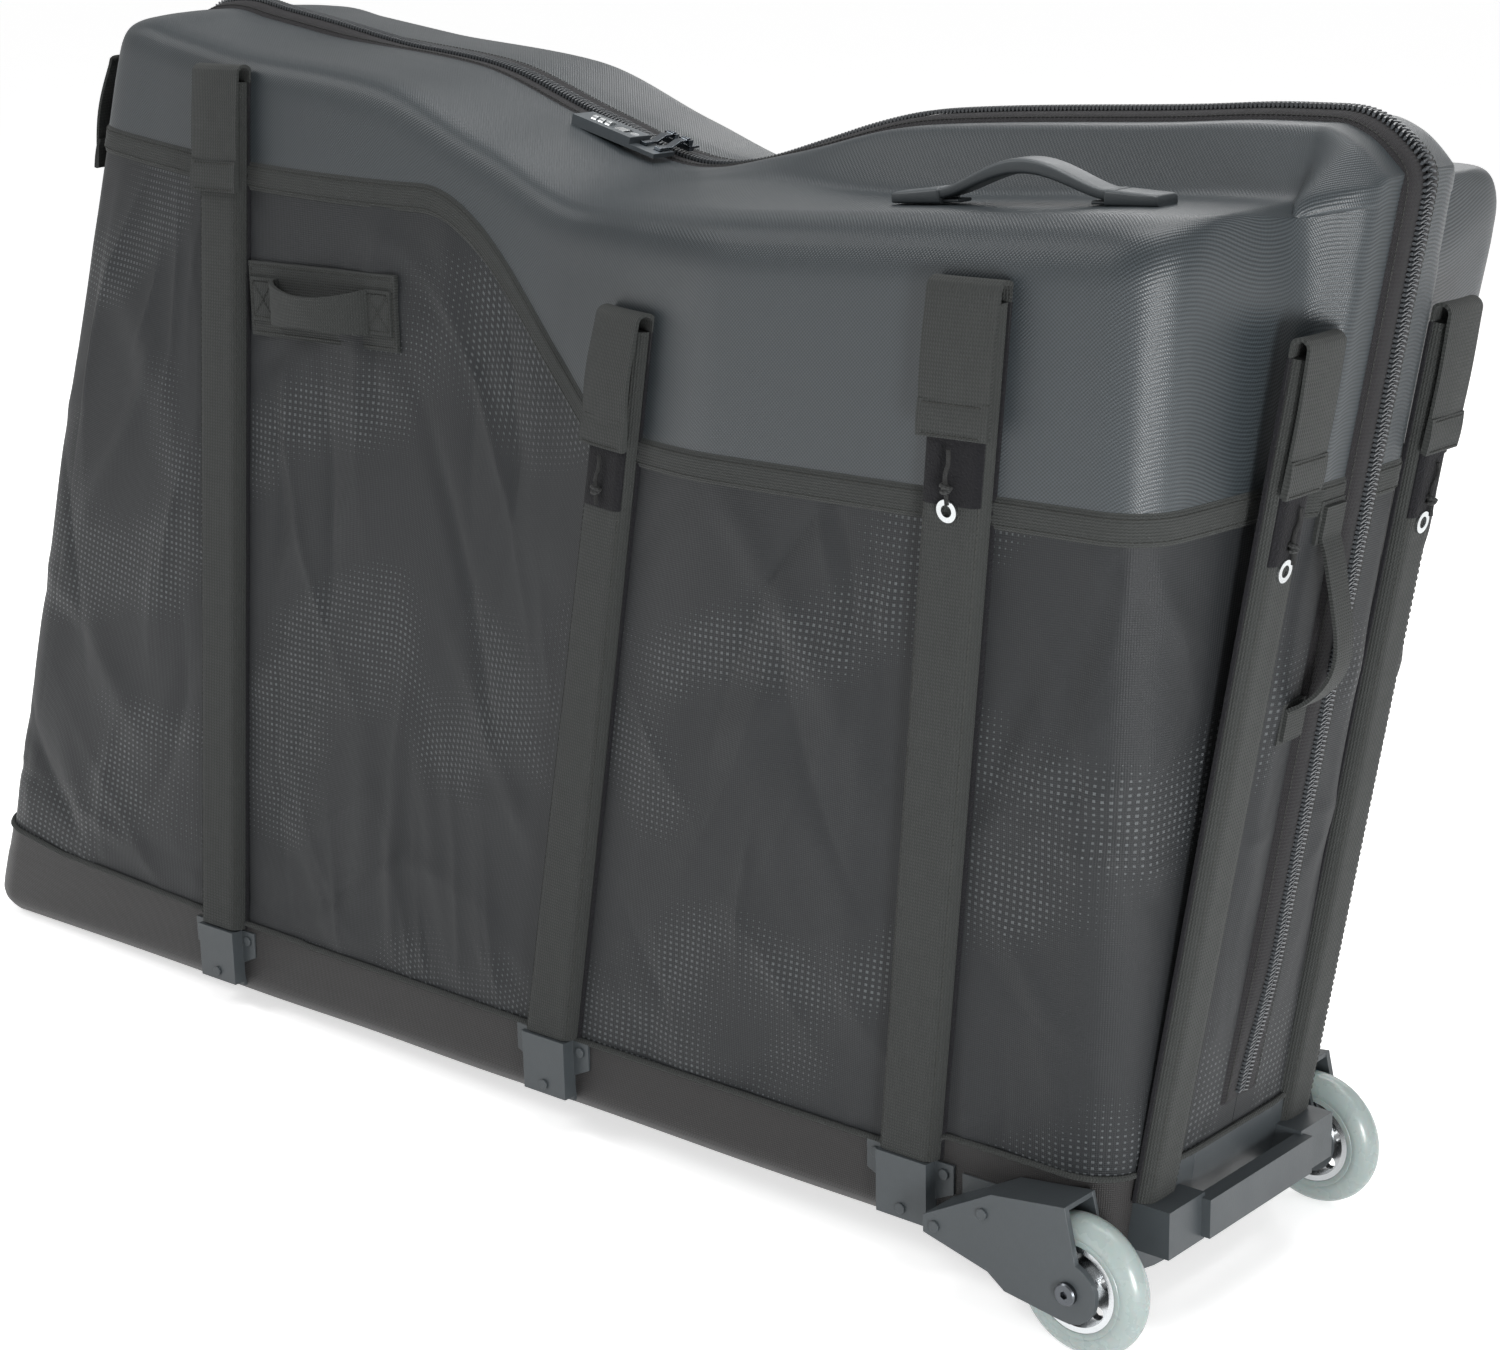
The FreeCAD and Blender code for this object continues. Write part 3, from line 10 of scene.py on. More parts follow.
import bmesh
import bpy
import numpy as np
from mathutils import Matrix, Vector

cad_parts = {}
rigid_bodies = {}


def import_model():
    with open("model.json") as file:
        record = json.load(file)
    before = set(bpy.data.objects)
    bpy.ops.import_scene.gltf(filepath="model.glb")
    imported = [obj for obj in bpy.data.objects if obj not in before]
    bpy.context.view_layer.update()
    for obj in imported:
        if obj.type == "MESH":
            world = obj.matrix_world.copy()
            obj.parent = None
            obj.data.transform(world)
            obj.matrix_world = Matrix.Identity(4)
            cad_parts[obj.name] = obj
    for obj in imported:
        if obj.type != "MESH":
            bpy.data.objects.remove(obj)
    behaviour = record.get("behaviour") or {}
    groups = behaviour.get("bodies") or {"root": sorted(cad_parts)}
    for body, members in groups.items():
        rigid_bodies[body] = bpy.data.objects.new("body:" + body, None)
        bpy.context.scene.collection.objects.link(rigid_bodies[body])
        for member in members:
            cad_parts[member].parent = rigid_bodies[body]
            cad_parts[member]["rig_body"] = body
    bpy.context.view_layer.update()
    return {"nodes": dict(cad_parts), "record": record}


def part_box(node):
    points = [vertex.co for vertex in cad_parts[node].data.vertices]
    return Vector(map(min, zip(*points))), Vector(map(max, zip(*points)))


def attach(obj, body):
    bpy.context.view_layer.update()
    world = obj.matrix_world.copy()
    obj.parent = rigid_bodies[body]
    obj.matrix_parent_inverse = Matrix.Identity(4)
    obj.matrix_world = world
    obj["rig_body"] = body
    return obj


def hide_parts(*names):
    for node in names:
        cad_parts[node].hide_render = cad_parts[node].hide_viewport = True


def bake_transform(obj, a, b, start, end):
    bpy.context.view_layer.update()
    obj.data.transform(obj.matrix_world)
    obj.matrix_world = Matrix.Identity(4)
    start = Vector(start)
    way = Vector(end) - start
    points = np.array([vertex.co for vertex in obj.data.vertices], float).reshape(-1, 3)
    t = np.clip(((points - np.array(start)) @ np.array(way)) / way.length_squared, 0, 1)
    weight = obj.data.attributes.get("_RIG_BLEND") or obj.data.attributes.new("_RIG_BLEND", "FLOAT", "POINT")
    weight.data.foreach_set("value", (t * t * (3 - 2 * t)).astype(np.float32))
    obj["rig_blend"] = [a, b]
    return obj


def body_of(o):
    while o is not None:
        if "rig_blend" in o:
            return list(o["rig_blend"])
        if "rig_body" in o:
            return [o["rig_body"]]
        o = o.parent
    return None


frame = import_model()

# Case frame

BASE_LENGTH, BASE_HALF, POD_HALF, CASE_HEIGHT = 1254.0, 130.0, 213.0, 815.0
REAR_LEAN, FRONT_LEAN, POD_LEAN, POD_SET_BACK, CORNER = 267.0, 142.0, 93.0, 6.0, 38.0
RIDGE_HALF, RISER_HALF, LEDGE_DROP, SHOULDER, REAR_SHOULDER, CHAMFER = 45.0, 72.0, 42.0, 28.0, 18.0, 14.0
SKIRT, ZIP_HALF, ZIP_FOOT, REAR_TAPER = 60.0, 20.0, 104.0, 10.0
SEAM_REAR, SEAM_FRONT, SEAM_RISE, SEAM_STEP = 690.0, 537.0, 30.0, (639.5, 871.5)
SKIRT_RISE = ((0.02, 88.0), (0.1, 74.0), (0.26, 65.6), (0.6, SKIRT))  # share of the base's length, top edge
HOUSING_RISE = ((1099.0, SKIRT), (1124.0, 80.0))  # x, top edge beside the wheel housing
REAR_NARROW, REAR_RIDGE_DROP, REAR_SOLE_RISE, REAR_STEP = 55.0, 9.0, 34.0, (0.03, 0.1)
POD_RIDGE, NOSE_DROP, CREST_DROP, VALLEY_HALF, VALLEY_OUT = 0.936 * CASE_HEIGHT, 28.0, 8.4, 82.0, 3.0
REAR_CORNER_END, POD_CORNER_START = 6, 16  # outlines between which the sides run
CORNER_TURNS = [(1 - math.cos(turn), math.sin(turn) - 1) for turn in map(math.radians, (0, 22.5, 45, 67.5, 90))]
AXLE_X, AXLE_Z, WHEEL_CENTRE = 1250.0, 16.0, 149.0
TILT = math.radians(1.47296)
hub_low, hub_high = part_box("near_hub")
AXLE_ROW = ((hub_low[0] + hub_high[0]) / 2, (hub_low[2] + hub_high[2]) / 2)

# Outlines along the sides: share of the base's length at the foot, of the ridge's at the head, then the shares of
# ridge height, flare, riser and ledge
STATIONS = {
    "rear_pole": (0.278, 0.147, 0.975, 0.0, 0.03, 0.1),
    "rear_quarter": (0.381, 0.294, 0.953, 0.0, 0.03, 0.1),
    "dip_start": (0.455, 0.403, 0.908, 0.02, 0.06, 0.2),
    "dip": (0.526, 0.511, 0.872, 0.2, 0.12, 0.32),
    "mid_pole": (0.582, 0.601, 0.892, 0.62, 0.35, 0.6),
    "pod_start": (0.687, 0.685, 0.919, 0.97, 0.95, 1.0),
    "front_pole": (0.863, 0.856, 0.931, 1.0, 1.0, 1.0),
}


def to_row(points):
    """Case-frame millimetres to row-frame metres."""
    points = np.asarray(points, float)
    x, z = points[..., 0] - AXLE_X, points[..., 2] - AXLE_Z
    row = np.empty_like(points)
    row[..., 0] = AXLE_ROW[0] + (x * math.cos(TILT) - z * math.sin(TILT)) / 1000
    row[..., 1] = points[..., 1] / 1000
    row[..., 2] = AXLE_ROW[1] + (x * math.sin(TILT) + z * math.cos(TILT)) / 1000
    return row


def run_along(line):
    """Length run at every point of a line."""
    return np.concatenate([[0], np.cumsum(np.linalg.norm(np.diff(line, axis=0), axis=1))])


def spots_on(line, run, spots):
    """Points of a line at given lengths of its run."""
    return np.stack([np.interp(spots, run, row) for row in line.T], axis=-1)


def unit(vectors):
    return vectors / np.maximum(np.linalg.norm(vectors, axis=-1, keepdims=True), 1e-6)


def ease(points, passes):
    """Draw points towards their neighbours, with both ends kept."""
    for _ in range(passes):
        points[1:-1] = (points[:-2] + 2 * points[1:-1] + points[2:]) / 4


def rear_x(z):
    return REAR_LEAN * z / CASE_HEIGHT


def zip_front_x(z):
    return BASE_LENGTH + FRONT_LEAN * z / CASE_HEIGHT


def pod_front_x(z):
    return BASE_LENGTH - POD_SET_BACK + POD_LEAN * np.minimum(z / SEAM_FRONT, 1)


def station_x(name, z):
    foot = STATIONS[name][0] * BASE_LENGTH
    head = REAR_LEAN + STATIONS[name][1] * (BASE_LENGTH + FRONT_LEAN - REAR_LEAN)
    return foot + (head - foot) * z / CASE_HEIGHT


def seam_height(x):
    """Height of the seam between shell and fabric."""
    low, high = SEAM_STEP
    share = np.clip((x - low) / (high - low), 0, 1)
    height = SEAM_FRONT + (SEAM_REAR - SEAM_FRONT) * (1 + np.cos(np.pi * share)) / 2
    return height + SEAM_RISE * np.clip((low - x) / (low - rear_x(SEAM_REAR)), 0, 1.2) ** 2


def skirt_height(x):
    """Top edge of the base."""
    line = [(share * BASE_LENGTH, z) for share, z in SKIRT_RISE] + list(HOUSING_RISE)
    return np.interp(x, *np.array(line).T)


def profile(ridge, half_head, half_foot, riser, ledge_share, shoulder=SHOULDER, sole=0.0):
    """Corners of the half outline from the ridge to the middle of the base: (half width, height)."""
    ledge = ridge - ledge_share * LEDGE_DROP
    ledge_half = half_head - shoulder
    riser_half = min(RISER_HALF, (RIDGE_HALF + ledge_half) / 2)
    turn = (1 - math.cos(math.pi / 4)) * shoulder
    return [(ZIP_HALF, ridge), (RIDGE_HALF, ridge), (riser_half, ridge - riser * LEDGE_DROP), (ledge_half, ledge),
            (half_head - turn, ledge - turn), (half_head, ledge - shoulder), (half_foot, SKIRT),
            (half_foot, sole + CHAMFER), (half_foot - CHAMFER, sole), (half_foot - 2 * CHAMFER, sole)]


def columns():
    """Outlines along the case, rear middle to front middle, each as (x, half width, height) corners."""
    rows = []
    for back, side in CORNER_TURNS:
        half = BASE_HALF + CORNER * side
        ridge, sole = CASE_HEIGHT + REAR_RIDGE_DROP * side, -REAR_SOLE_RISE * side
        outline = profile(ridge, half - REAR_TAPER, half, *REAR_STEP, REAR_SHOULDER, sole)
        rows.append([(rear_x(z) + CORNER * back, y, z) for y, z in outline])
    for narrow in (REAR_NARROW, ZIP_HALF):
        rows.insert(0, [(rear_x(z), min(y, narrow), z) for _, y, z in rows[0]])
    for name, (_, _, ridge, flare, riser, ledge) in STATIONS.items():
        head = BASE_HALF + flare * (POD_HALF - BASE_HALF)
        shoulder = REAR_SHOULDER + flare * (SHOULDER - REAR_SHOULDER)
        outline = profile(ridge * CASE_HEIGHT, head, BASE_HALF, riser, ledge, shoulder)
        rows.append([(station_x(name, z), y, z) for y, z in outline])
    before, after = (np.array(rows[REAR_CORNER_END + k]) for k in (0, 1))
    rows[REAR_CORNER_END + 1:REAR_CORNER_END + 1] = [before + (after - before) * share for share in (0.35, 0.7)]
    for back, side in reversed(CORNER_TURNS):
        outline = profile(POD_RIDGE, POD_HALF + CORNER * side, BASE_HALF + CORNER * side, 1, 1)
        rows.append([(float(pod_front_x(z)) - CORNER * back, y, z) for y, z in outline])
    ledge, top = POD_RIDGE - LEDGE_DROP, POD_RIDGE - NOSE_DROP
    sides = [ledge - share * SHOULDER for share in (0, 0.6, 1.2, 2)] + [SKIRT, CHAMFER]
    crest_x = (float(pod_front_x(SEAM_FRONT)) + zip_front_x(top)) / 2
    valley = [(crest_x, half, POD_RIDGE - CREST_DROP) for half in (ZIP_HALF, RIDGE_HALF)]
    valley += [(float(pod_front_x(z)) + VALLEY_OUT, VALLEY_HALF, z) for z in sides]
    valley += [(float(pod_front_x(0)) + VALLEY_OUT, VALLEY_HALF - k * CHAMFER, 0) for k in (1, 2)]
    rows.append(valley)
    fall = [top + share * (ledge - SHOULDER - top) for share in (0.25, 0.5, 0.75, 1)] + [SKIRT, CHAMFER]
    for narrow in (RIDGE_HALF, ZIP_HALF):
        nose = [(zip_front_x(z), narrow, z) for z in [top] + fall]
        sole = [(BASE_LENGTH - back, narrow, 0) for back in (0, CHAMFER)]
        rows.append([(zip_front_x(top), ZIP_HALF, top)] + nose + sole)
    return np.array(rows, float)


# Smooth surface through the outlines

ROUNDING, REACH_SHARE = (0, 6, 9, 9, 12, 12, 4, 6, 6, 0), 0.48  # of the outline's corners, from ridge to sole
ARC_STEPS, RUN_STEPS = 6, (3, 3, 5, 1, 1, 46, 6, 2, 4)
SHOULDER_CORNER, COLUMN_COUNT, MOULD_PASSES, LINE_PASSES = 5, 380, 6, 8


def rounded_outline(corners):
    """A column's corners turned into arcs, sampled the same way for every column."""
    points = []
    for index in range(len(corners)):
        here = corners[index]
        before = corners[max(index - 1, 0)]
        after = corners[min(index + 1, len(corners) - 1)]
        into, out = before - here, after - here
        a, b = (here + unit(leg) * min(ROUNDING[index], REACH_SHARE * np.linalg.norm(leg)) for leg in (into, out))
        if points:
            last = points[-1]
            steps = RUN_STEPS[index - 1]
            points += [last + (a - last) * (step / (steps + 1)) for step in range(1, steps + 1)]
        for step in range(ARC_STEPS + 1):
            share = step / ARC_STEPS
            points.append(a * (1 - share) ** 2 + here * 2 * share * (1 - share) + b * share ** 2)
    return np.array(points)


def smooth_through(at, values, where):
    """Monotone cubic through values at positions, along the first axis."""
    step = np.diff(at)
    shape = (-1,) + (1,) * (values.ndim - 1)
    slope = np.diff(values, axis=0) / step.reshape(shape)
    tangent = np.zeros_like(values)
    tangent[0], tangent[-1] = slope[0], slope[-1]
    w_a = (2 * step[1:] + step[:-1]).reshape(shape)
    w_b = (step[1:] + 2 * step[:-1]).reshape(shape)
    same = slope[:-1] * slope[1:] > 0
    safe_a = np.where(same, slope[:-1], 1)
    safe_b = np.where(same, slope[1:], 1)
    tangent[1:-1] = np.where(same, (w_a + w_b) / (w_a / safe_a + w_b / safe_b), 0)
    cell = np.clip(np.searchsorted(at, where) - 1, 0, len(at) - 2)
    run = step[cell].reshape(shape)
    share = ((where - at[cell]) / step[cell]).reshape(shape)
    a, b = values[cell], values[cell + 1]
    return (a * (2 * share ** 3 - 3 * share ** 2 + 1) + b * (3 * share ** 2 - 2 * share ** 3)
            + tangent[cell] * run * (share ** 3 - 2 * share ** 2 + share)
            + tangent[cell + 1] * run * (share ** 3 - share ** 2))


SHOULDER_END = (SHOULDER_CORNER + 1) * (ARC_STEPS + 1) + sum(RUN_STEPS[:SHOULDER_CORNER]) - 1
rough = np.array([rounded_outline(column) for column in columns()])
distance = np.concatenate([[0], np.cumsum(np.linalg.norm(np.diff(rough, axis=0), axis=2).mean(axis=1))])
ALONG = np.linspace(0, distance[-1], COLUMN_COUNT)
SURFACE = smooth_through(distance, rough, ALONG)
crown = SURFACE[:, :SHOULDER_END + 1]
ease(crown, MOULD_PASSES)
ease(crown.swapaxes(0, 1), 1)
SIDE_COLUMNS = [int(np.searchsorted(ALONG, distance[k])) for k in (REAR_CORNER_END, POD_CORNER_START)]


def crossing(column, height):
    """Place along a column, in steps, where its side passes a height."""
    z = column[SHOULDER_END:, 2]
    return SHOULDER_END + np.interp(-height, -z, np.arange(len(z)))


def at_place(column, place):
    low = np.minimum(np.asarray(place).astype(int), len(column) - 2)
    share = (place - low)[..., None]
    return column[low] * (1 - share) + column[low + 1] * share


def line_places(height_of):
    """Place of a line such as the seam on every column."""
    places = []
    for column in SURFACE:
        x = column[SHOULDER_END, 0]
        for _ in range(LINE_PASSES):
            place = crossing(column, height_of(x))
            x = at_place(column, np.array([place]))[0, 0]
        places.append(place)
    return np.array(places)


SEAM, EDGE = line_places(seam_height), line_places(skirt_height)


def rows_between(first, last, count):
    """Grid of points between two lines on the columns."""
    shares = np.linspace(0, 1, count)
    return np.array([at_place(c, a + (b - a) * shares) for c, a, b in zip(SURFACE, first, last)])


def normals_of(grid):
    """Outward unit normals of a grid of points."""
    normal = np.cross(np.gradient(grid, axis=0), np.gradient(grid, axis=1))
    size = np.linalg.norm(normal, axis=2, keepdims=True)
    flat = size[..., 0] < 1e-3
    normal = normal / np.maximum(size, 1e-9)
    normal[0][flat[0]] = normal[3][flat[0]]
    normal[-1][flat[-1]] = normal[-4][flat[-1]]
    return normal


def measure_of(grid):
    """Lengths along and down a grid in metres, for weaves and prints."""
    down = np.linalg.norm(np.diff(grid, axis=1), axis=2)
    u = run_along(grid[:, grid.shape[1] // 2])[:, None] + np.zeros(grid.shape[1])
    v = np.concatenate([np.zeros((len(grid), 1)), np.cumsum(down, axis=1)], axis=1)
    return np.stack([u, v], axis=2) / 1000


class Chart:
    """One side or end of the case as depths over (a, z), to set other pieces on it."""

    STEP, RISE = 3.0, 4.0
    HEIGHTS = np.arange(14, 786, RISE)

    def __init__(self, kind, low, high):
        self.kind, self.low = kind, low
        self.a = np.arange(low, high, self.STEP)
        depth = []
        for z in self.HEIGHTS:
            level = np.array([at_place(c, np.array([crossing(c, z)]))[0] for c in SURFACE])
            if kind == "side":
                depth.append(np.interp(self.a, level[:, 0], level[:, 1]))
            else:
                half = slice(SIDE_COLUMNS[1], None) if kind == "nose" else slice(0, SIDE_COLUMNS[0])
                order = np.argsort(level[half, 1])
                depth.append(np.interp(self.a, level[half, 1][order], level[half, 0][order]))
        self.depth = np.array(depth)
        self.slope_z, self.slope_a = np.gradient(self.depth, self.RISE, self.STEP)

    def look(self, table, a, z):
        """Value of a table between its nearest four places."""
        i = np.clip((z - self.HEIGHTS[0]) / self.RISE, 0, len(self.HEIGHTS) - 1.001)
        j = np.clip((a - self.low) / self.STEP, 0, len(self.a) - 1.001)
        i0, j0 = i.astype(int), j.astype(int)
        i, j = i - i0, j - j0
        return ((table[i0, j0] * (1 - j) + table[i0, j0 + 1] * j) * (1 - i)
                + (table[i0 + 1, j0] * (1 - j) + table[i0 + 1, j0 + 1] * j) * i)

    def place(self, a, z, out):
        """Points at (a, z) and out millimetres off the surface."""
        a, z, out = np.broadcast_arrays(np.asarray(a, float), np.asarray(z, float), np.asarray(out, float))
        depth, da, dz = (self.look(t, a, z) for t in (self.depth, self.slope_a, self.slope_z))
        size = np.sqrt(1 + da ** 2 + dz ** 2)
        if self.kind == "side":
            return np.stack([a - out * da / size, depth + out / size, z - out * dz / size], axis=-1)
        way = 1 if self.kind == "nose" else -1
        return np.stack([depth + way * out / size, a - way * out * da / size, z - way * out * dz / size], axis=-1)


class Plane:
    """Flat face that the wheel-end poles stand against, used like a chart."""

    def place(self, a, z, out):
        a, z, out = np.broadcast_arrays(np.asarray(a, float), np.asarray(z, float), np.asarray(out, float))
        slope = POD_LEAN / SEAM_FRONT
        size = math.hypot(1, slope)
        return np.stack([BASE_LENGTH - POD_SET_BACK + slope * z + out / size, a, z - out * slope / size], axis=-1)


SIDE, NOSE, TAIL, FACE = Chart("side", 30, 1330), Chart("nose", 22, 150), Chart("tail", 22, 114), Plane()

# Pieces as meshes

ROD_SIGHT = (0.31, 0.2, 0.93)  # a way that no cord or piping runs
STITCH_ARCH, STITCH_RING = (-0.2, 0.35, -0.2), ((1, 0), (0, 1.3), (-1, 0), (0, -0.8))  # in thread radii
SOFT_EDGE, WEBBING_EDGE = 60, 50  # degrees past which an edge stays sharp


class Form:
    """Points and faces of one piece, in the case frame on the +Y side."""

    def __init__(self):
        self.points, self.faces, self.uv, self.count = [], [], [], 0

    def add(self, points, faces, uv=None):
        points = np.asarray(points, float).reshape(-1, 3)
        self.points.append(points)
        self.uv.append(np.zeros((len(points), 2)) if uv is None else np.asarray(uv, float).reshape(-1, 2))
        self.faces += (np.asarray(faces) + self.count).tolist()
        self.count += len(points)

    def slab(self, outer, inner, uv=None):
        """Closed sheet between two grids."""
        n, m = outer.shape[:2]
        index = np.arange(n * m).reshape(n, m)
        quads = np.stack([index[:-1, :-1], index[1:, :-1], index[1:, 1:], index[:-1, 1:]], axis=2).reshape(-1, 4)
        under = quads[:, ::-1] + n * m
        rim = np.concatenate([index[:, 0][::-1], index[0, 1:], index[1:, -1], index[-1, -2:0:-1]])
        after = np.roll(rim, -1)
        edge = np.stack([rim, after, after + n * m, rim + n * m], axis=1)
        uv = measure_of(outer) if uv is None else uv
        self.add(np.concatenate([outer.reshape(-1, 3), inner.reshape(-1, 3)]),
                 np.concatenate([quads, under, edge]), np.concatenate([uv.reshape(-1, 2)] * 2))

    def patch(self, chart, a, z, face, back):
        """Sheet on a chart, with its face and its back so far off the surface."""
        self.slab(chart.place(a, z, face), chart.place(a, z, back))

    def tube(self, rings):
        """Closed skin through rings of points, with its ends filled."""
        rings = np.asarray(rings, float)
        n, m = rings.shape[:2]
        index = np.arange(n * m).reshape(n, m)
        nxt = np.roll(index, -1, axis=1)
        quads = np.stack([index[:-1].ravel(), nxt[:-1].ravel(), nxt[1:].ravel(), index[1:].ravel()], axis=1)
        girth = np.linspace(0, 1, m) * 0.01 + np.zeros((n, m))
        run = run_along(rings.mean(axis=1))[:, None] / 1000 + np.zeros((n, m))
        ends = [rings[0].mean(axis=0), rings[-1].mean(axis=0)]
        caps = [[n * m, index[0, (k + 1) % m], index[0, k], index[0, k]] for k in range(m)]
        caps += [[n * m + 1, index[-1, k], index[-1, (k + 1) % m], index[-1, (k + 1) % m]] for k in range(m)]
        uv = np.concatenate([np.stack([girth, run], axis=2).reshape(-1, 2), np.zeros((2, 2))])
        self.add(np.concatenate([rings.reshape(-1, 3), ends]), np.concatenate([quads, caps]), uv)

    def rod(self, path, radius, sides=8):
        """Round tube along a path."""
        path = np.asarray(path, float)
        tangent = unit(np.gradient(path, axis=0))
        across = unit(np.cross(tangent, ROD_SIGHT))
        other = np.cross(tangent, across)
        turn = np.linspace(0, 2 * np.pi, sides, endpoint=False)[:, None]
        radius = np.broadcast_to(np.asarray(radius, float), len(path))[:, None, None]
        self.tube(path[:, None] + radius * (np.cos(turn) * across[:, None] + np.sin(turn) * other[:, None]))

    def stitches(self, line, normal, pitch=4.2, length=2.8, radius=0.45):
        """Row of short raised threads along a line."""
        run = run_along(line)
        starts = np.arange(pitch / 2, run[-1] - length, pitch)
        spots = starts[:, None] + length * np.array([0, 0.5, 1])
        p, n = spots_on(line, run, spots), spots_on(normal, run, spots)
        side = unit(np.cross(n, p[:, 2:] - p[:, :1]))
        lift = np.array(STITCH_ARCH)[:, None] * radius
        for rings in np.stack([p + n * lift + radius * (a * side + b * n) for a, b in STITCH_RING], axis=2):
            self.tube(rings)

    def sew(self, chart, a, z, out, pitch, length=2.8):
        """Stitches along a line of places on a chart."""
        row = chart.place(a, z, out)
        self.stitches(row, row - chart.place(a, z, out - 1), pitch, length)

    def sew_corners(self, corners, count, out, pitch, length=2.8):
        """Stitches on the side, straight from corner to corner."""
        share = np.linspace(0, 1, count)
        for (a0, z0), (a1, z1) in zip(corners, corners[1:]):
            self.sew(SIDE, a0 + (a1 - a0) * share, z0 + (z1 - z0) * share, out, pitch, length)

    def piece(self, name, slot, body=None, side=1, replaces=(), sharp=40, in_row=False):
        """Blender object of the form, moved to its place and riding on its body."""
        mesh = bpy.data.meshes.new(name)
        faces = [face[:3] if face[2] == face[3] else face for face in self.faces]
        points = np.concatenate(self.points) * (1, side, 1)
        mesh.from_pydata((points / 1000 if in_row else to_row(points)).tolist(), [], faces)
        corner = np.empty(len(mesh.loops), np.int32)
        mesh.loops.foreach_get("vertex_index", corner)
        mesh.uv_layers.new(name="UVMap").data.foreach_set("uv", np.concatenate(self.uv)[corner].ravel())
        work = bmesh.new()
        work.from_mesh(mesh)
        bmesh.ops.recalc_face_normals(work, faces=work.faces)
        work.to_mesh(mesh)
        work.free()
        mesh.shade_smooth()
        mesh.set_sharp_from_angle(angle=math.radians(sharp))
        made = bpy.data.objects.new(name, mesh)
        bpy.context.collection.objects.link(made)
        made.data.materials.append(LOOKS[slot])
        slot if slot in SLOTS else SLOT_OF[slot]
        if body:
            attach(made, body)
        if replaces:
            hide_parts(*replaces)
        return made

    def on_side(self, side, name, slot, node=None, sharp=40):
        """Piece that rides on the near or far side, in the place of one of its nodes if one is named."""
        nodes = (f"{side}_{node}",) if node else ()
        self.piece(f"{side}_{name}", slot, side + "_side", SIGN[side], nodes, sharp)


SIGN = {"near": -1, "far": 1}
SLOTS = [row["slot"] for row in frame["record"]["materials"]]
SLOT_OF = {"thread": "webbing", "hook": "webbing", "coil": "zip_tape"}

# Materials


class Value:
    """A shader value; sums and products of values make the nodes for them."""

    def __init__(self, tree, socket=None):
        self.tree, self.socket = tree, socket

    def node(self, kind, inputs, out=0, **settings):
        made = self.tree.nodes.new("ShaderNode" + kind)
        for key, value in settings.items():
            setattr(made, key, value)
        for key, value in inputs.items():
            if isinstance(value, Value):
                self.tree.links.new(value.socket, made.inputs[key])
            else:
                made.inputs[key].default_value = value
        return Value(self.tree, made.outputs[out])

    def math(self, operation, other=0.0):
        return self.node("Math", {0: self, 1: other}, operation=operation)

    def __add__(self, other):
        return self.math("ADD", other)

    def __sub__(self, other):
        return self.math("SUBTRACT", other)

    def __mul__(self, other):
        return self.math("MULTIPLY", other)

    def __lt__(self, other):
        return self.math("LESS_THAN", other)

    def __rsub__(self, other):
        return self.node("Math", {0: other, 1: self}, operation="SUBTRACT")

    __radd__, __rmul__ = __add__, __mul__

    def axis(self, index):
        return self.node("SeparateXYZ", {0: self}, out=index)

    def noise(self, scale, detail=2.0):
        return self.node("TexNoise", {"Vector": self, "Scale": scale, "Detail": detail})

    def blend(self, a, b):
        """Colour a where this value is 0, b where it is 1."""
        return self.node("Mix", {0: self, 6: a, 7: b}, out=2, data_type="RGBA")


def colour(red, green, blue):
    """Screen colour as linear light."""
    return tuple(((c / 255 + 0.055) / 1.055) ** 2.4 if c > 10 else c / 255 / 12.92 for c in (red, green, blue)) + (1.0,)


LOOKS = {}


class Look:
    """One material, with its shader's constants and the values that vary over it."""

    def __init__(self, name, rgb, rough, **constants):
        self.material = LOOKS[name] = bpy.data.materials.new(name)
        self.material.use_nodes = True
        self.tree = self.material.node_tree
        self.shader = self.tree.nodes["Principled BSDF"]
        self.rgb, self.rough = rgb, rough
        self.set("Base Color", colour(*rgb))
        self.set("Roughness", rough)
        for key, value in constants.items():
            self.set(key.replace("_", " ").title().replace("Ior", "IOR"), value)
        self.material.diffuse_color = colour(*rgb)

    def set(self, key, value):
        if isinstance(value, Value):
            self.tree.links.new(value.socket, self.shader.inputs[key])
        else:
            self.shader.inputs[key].default_value = value

    def place(self):
        """Place in the case, in metres."""
        return Value(self.tree).node("TexCoord", {}, out=3)

    def cloth(self):
        """Place on the piece's own cut, in metres: along and down."""
        return Value(self.tree).node("UVMap", {}, uv_map="UVMap")

    def shade(self, value, spread):
        """The base colour a little darker and lighter with a value from 0 to 1."""
        dark, light = (tuple(min(255, c * (1 + s * spread)) for c in self.rgb) for s in (-1, 1))
        return value.blend(colour(*dark), colour(*light))

    def tint(self, value, spread):
        self.set("Base Color", self.shade(value, spread))

    def relief(self, height, depth):
        self.set("Normal", height.node("Bump", {"Strength": 1.0, "Distance": depth, "Height": height}))

    def roughen(self, value, spread):
        self.set("Roughness", value * (2 * spread) + (self.rough - spread))


def waves(value, pitch):
    """Rows of soft ridges, 0 to 1."""
    return (value * (2 * math.pi / pitch)).math("SINE") * 0.5 + 0.5


WARP_PITCH, TWILL_PITCH, WEAVE_PITCH = 0.0026, 0.0026, 0.0016
PRINT_PITCH, PRINT_REACH, PRINT_BANDS, PRINT_GREY = 0.0051, 0.21, 0.36, (98, 102, 104)


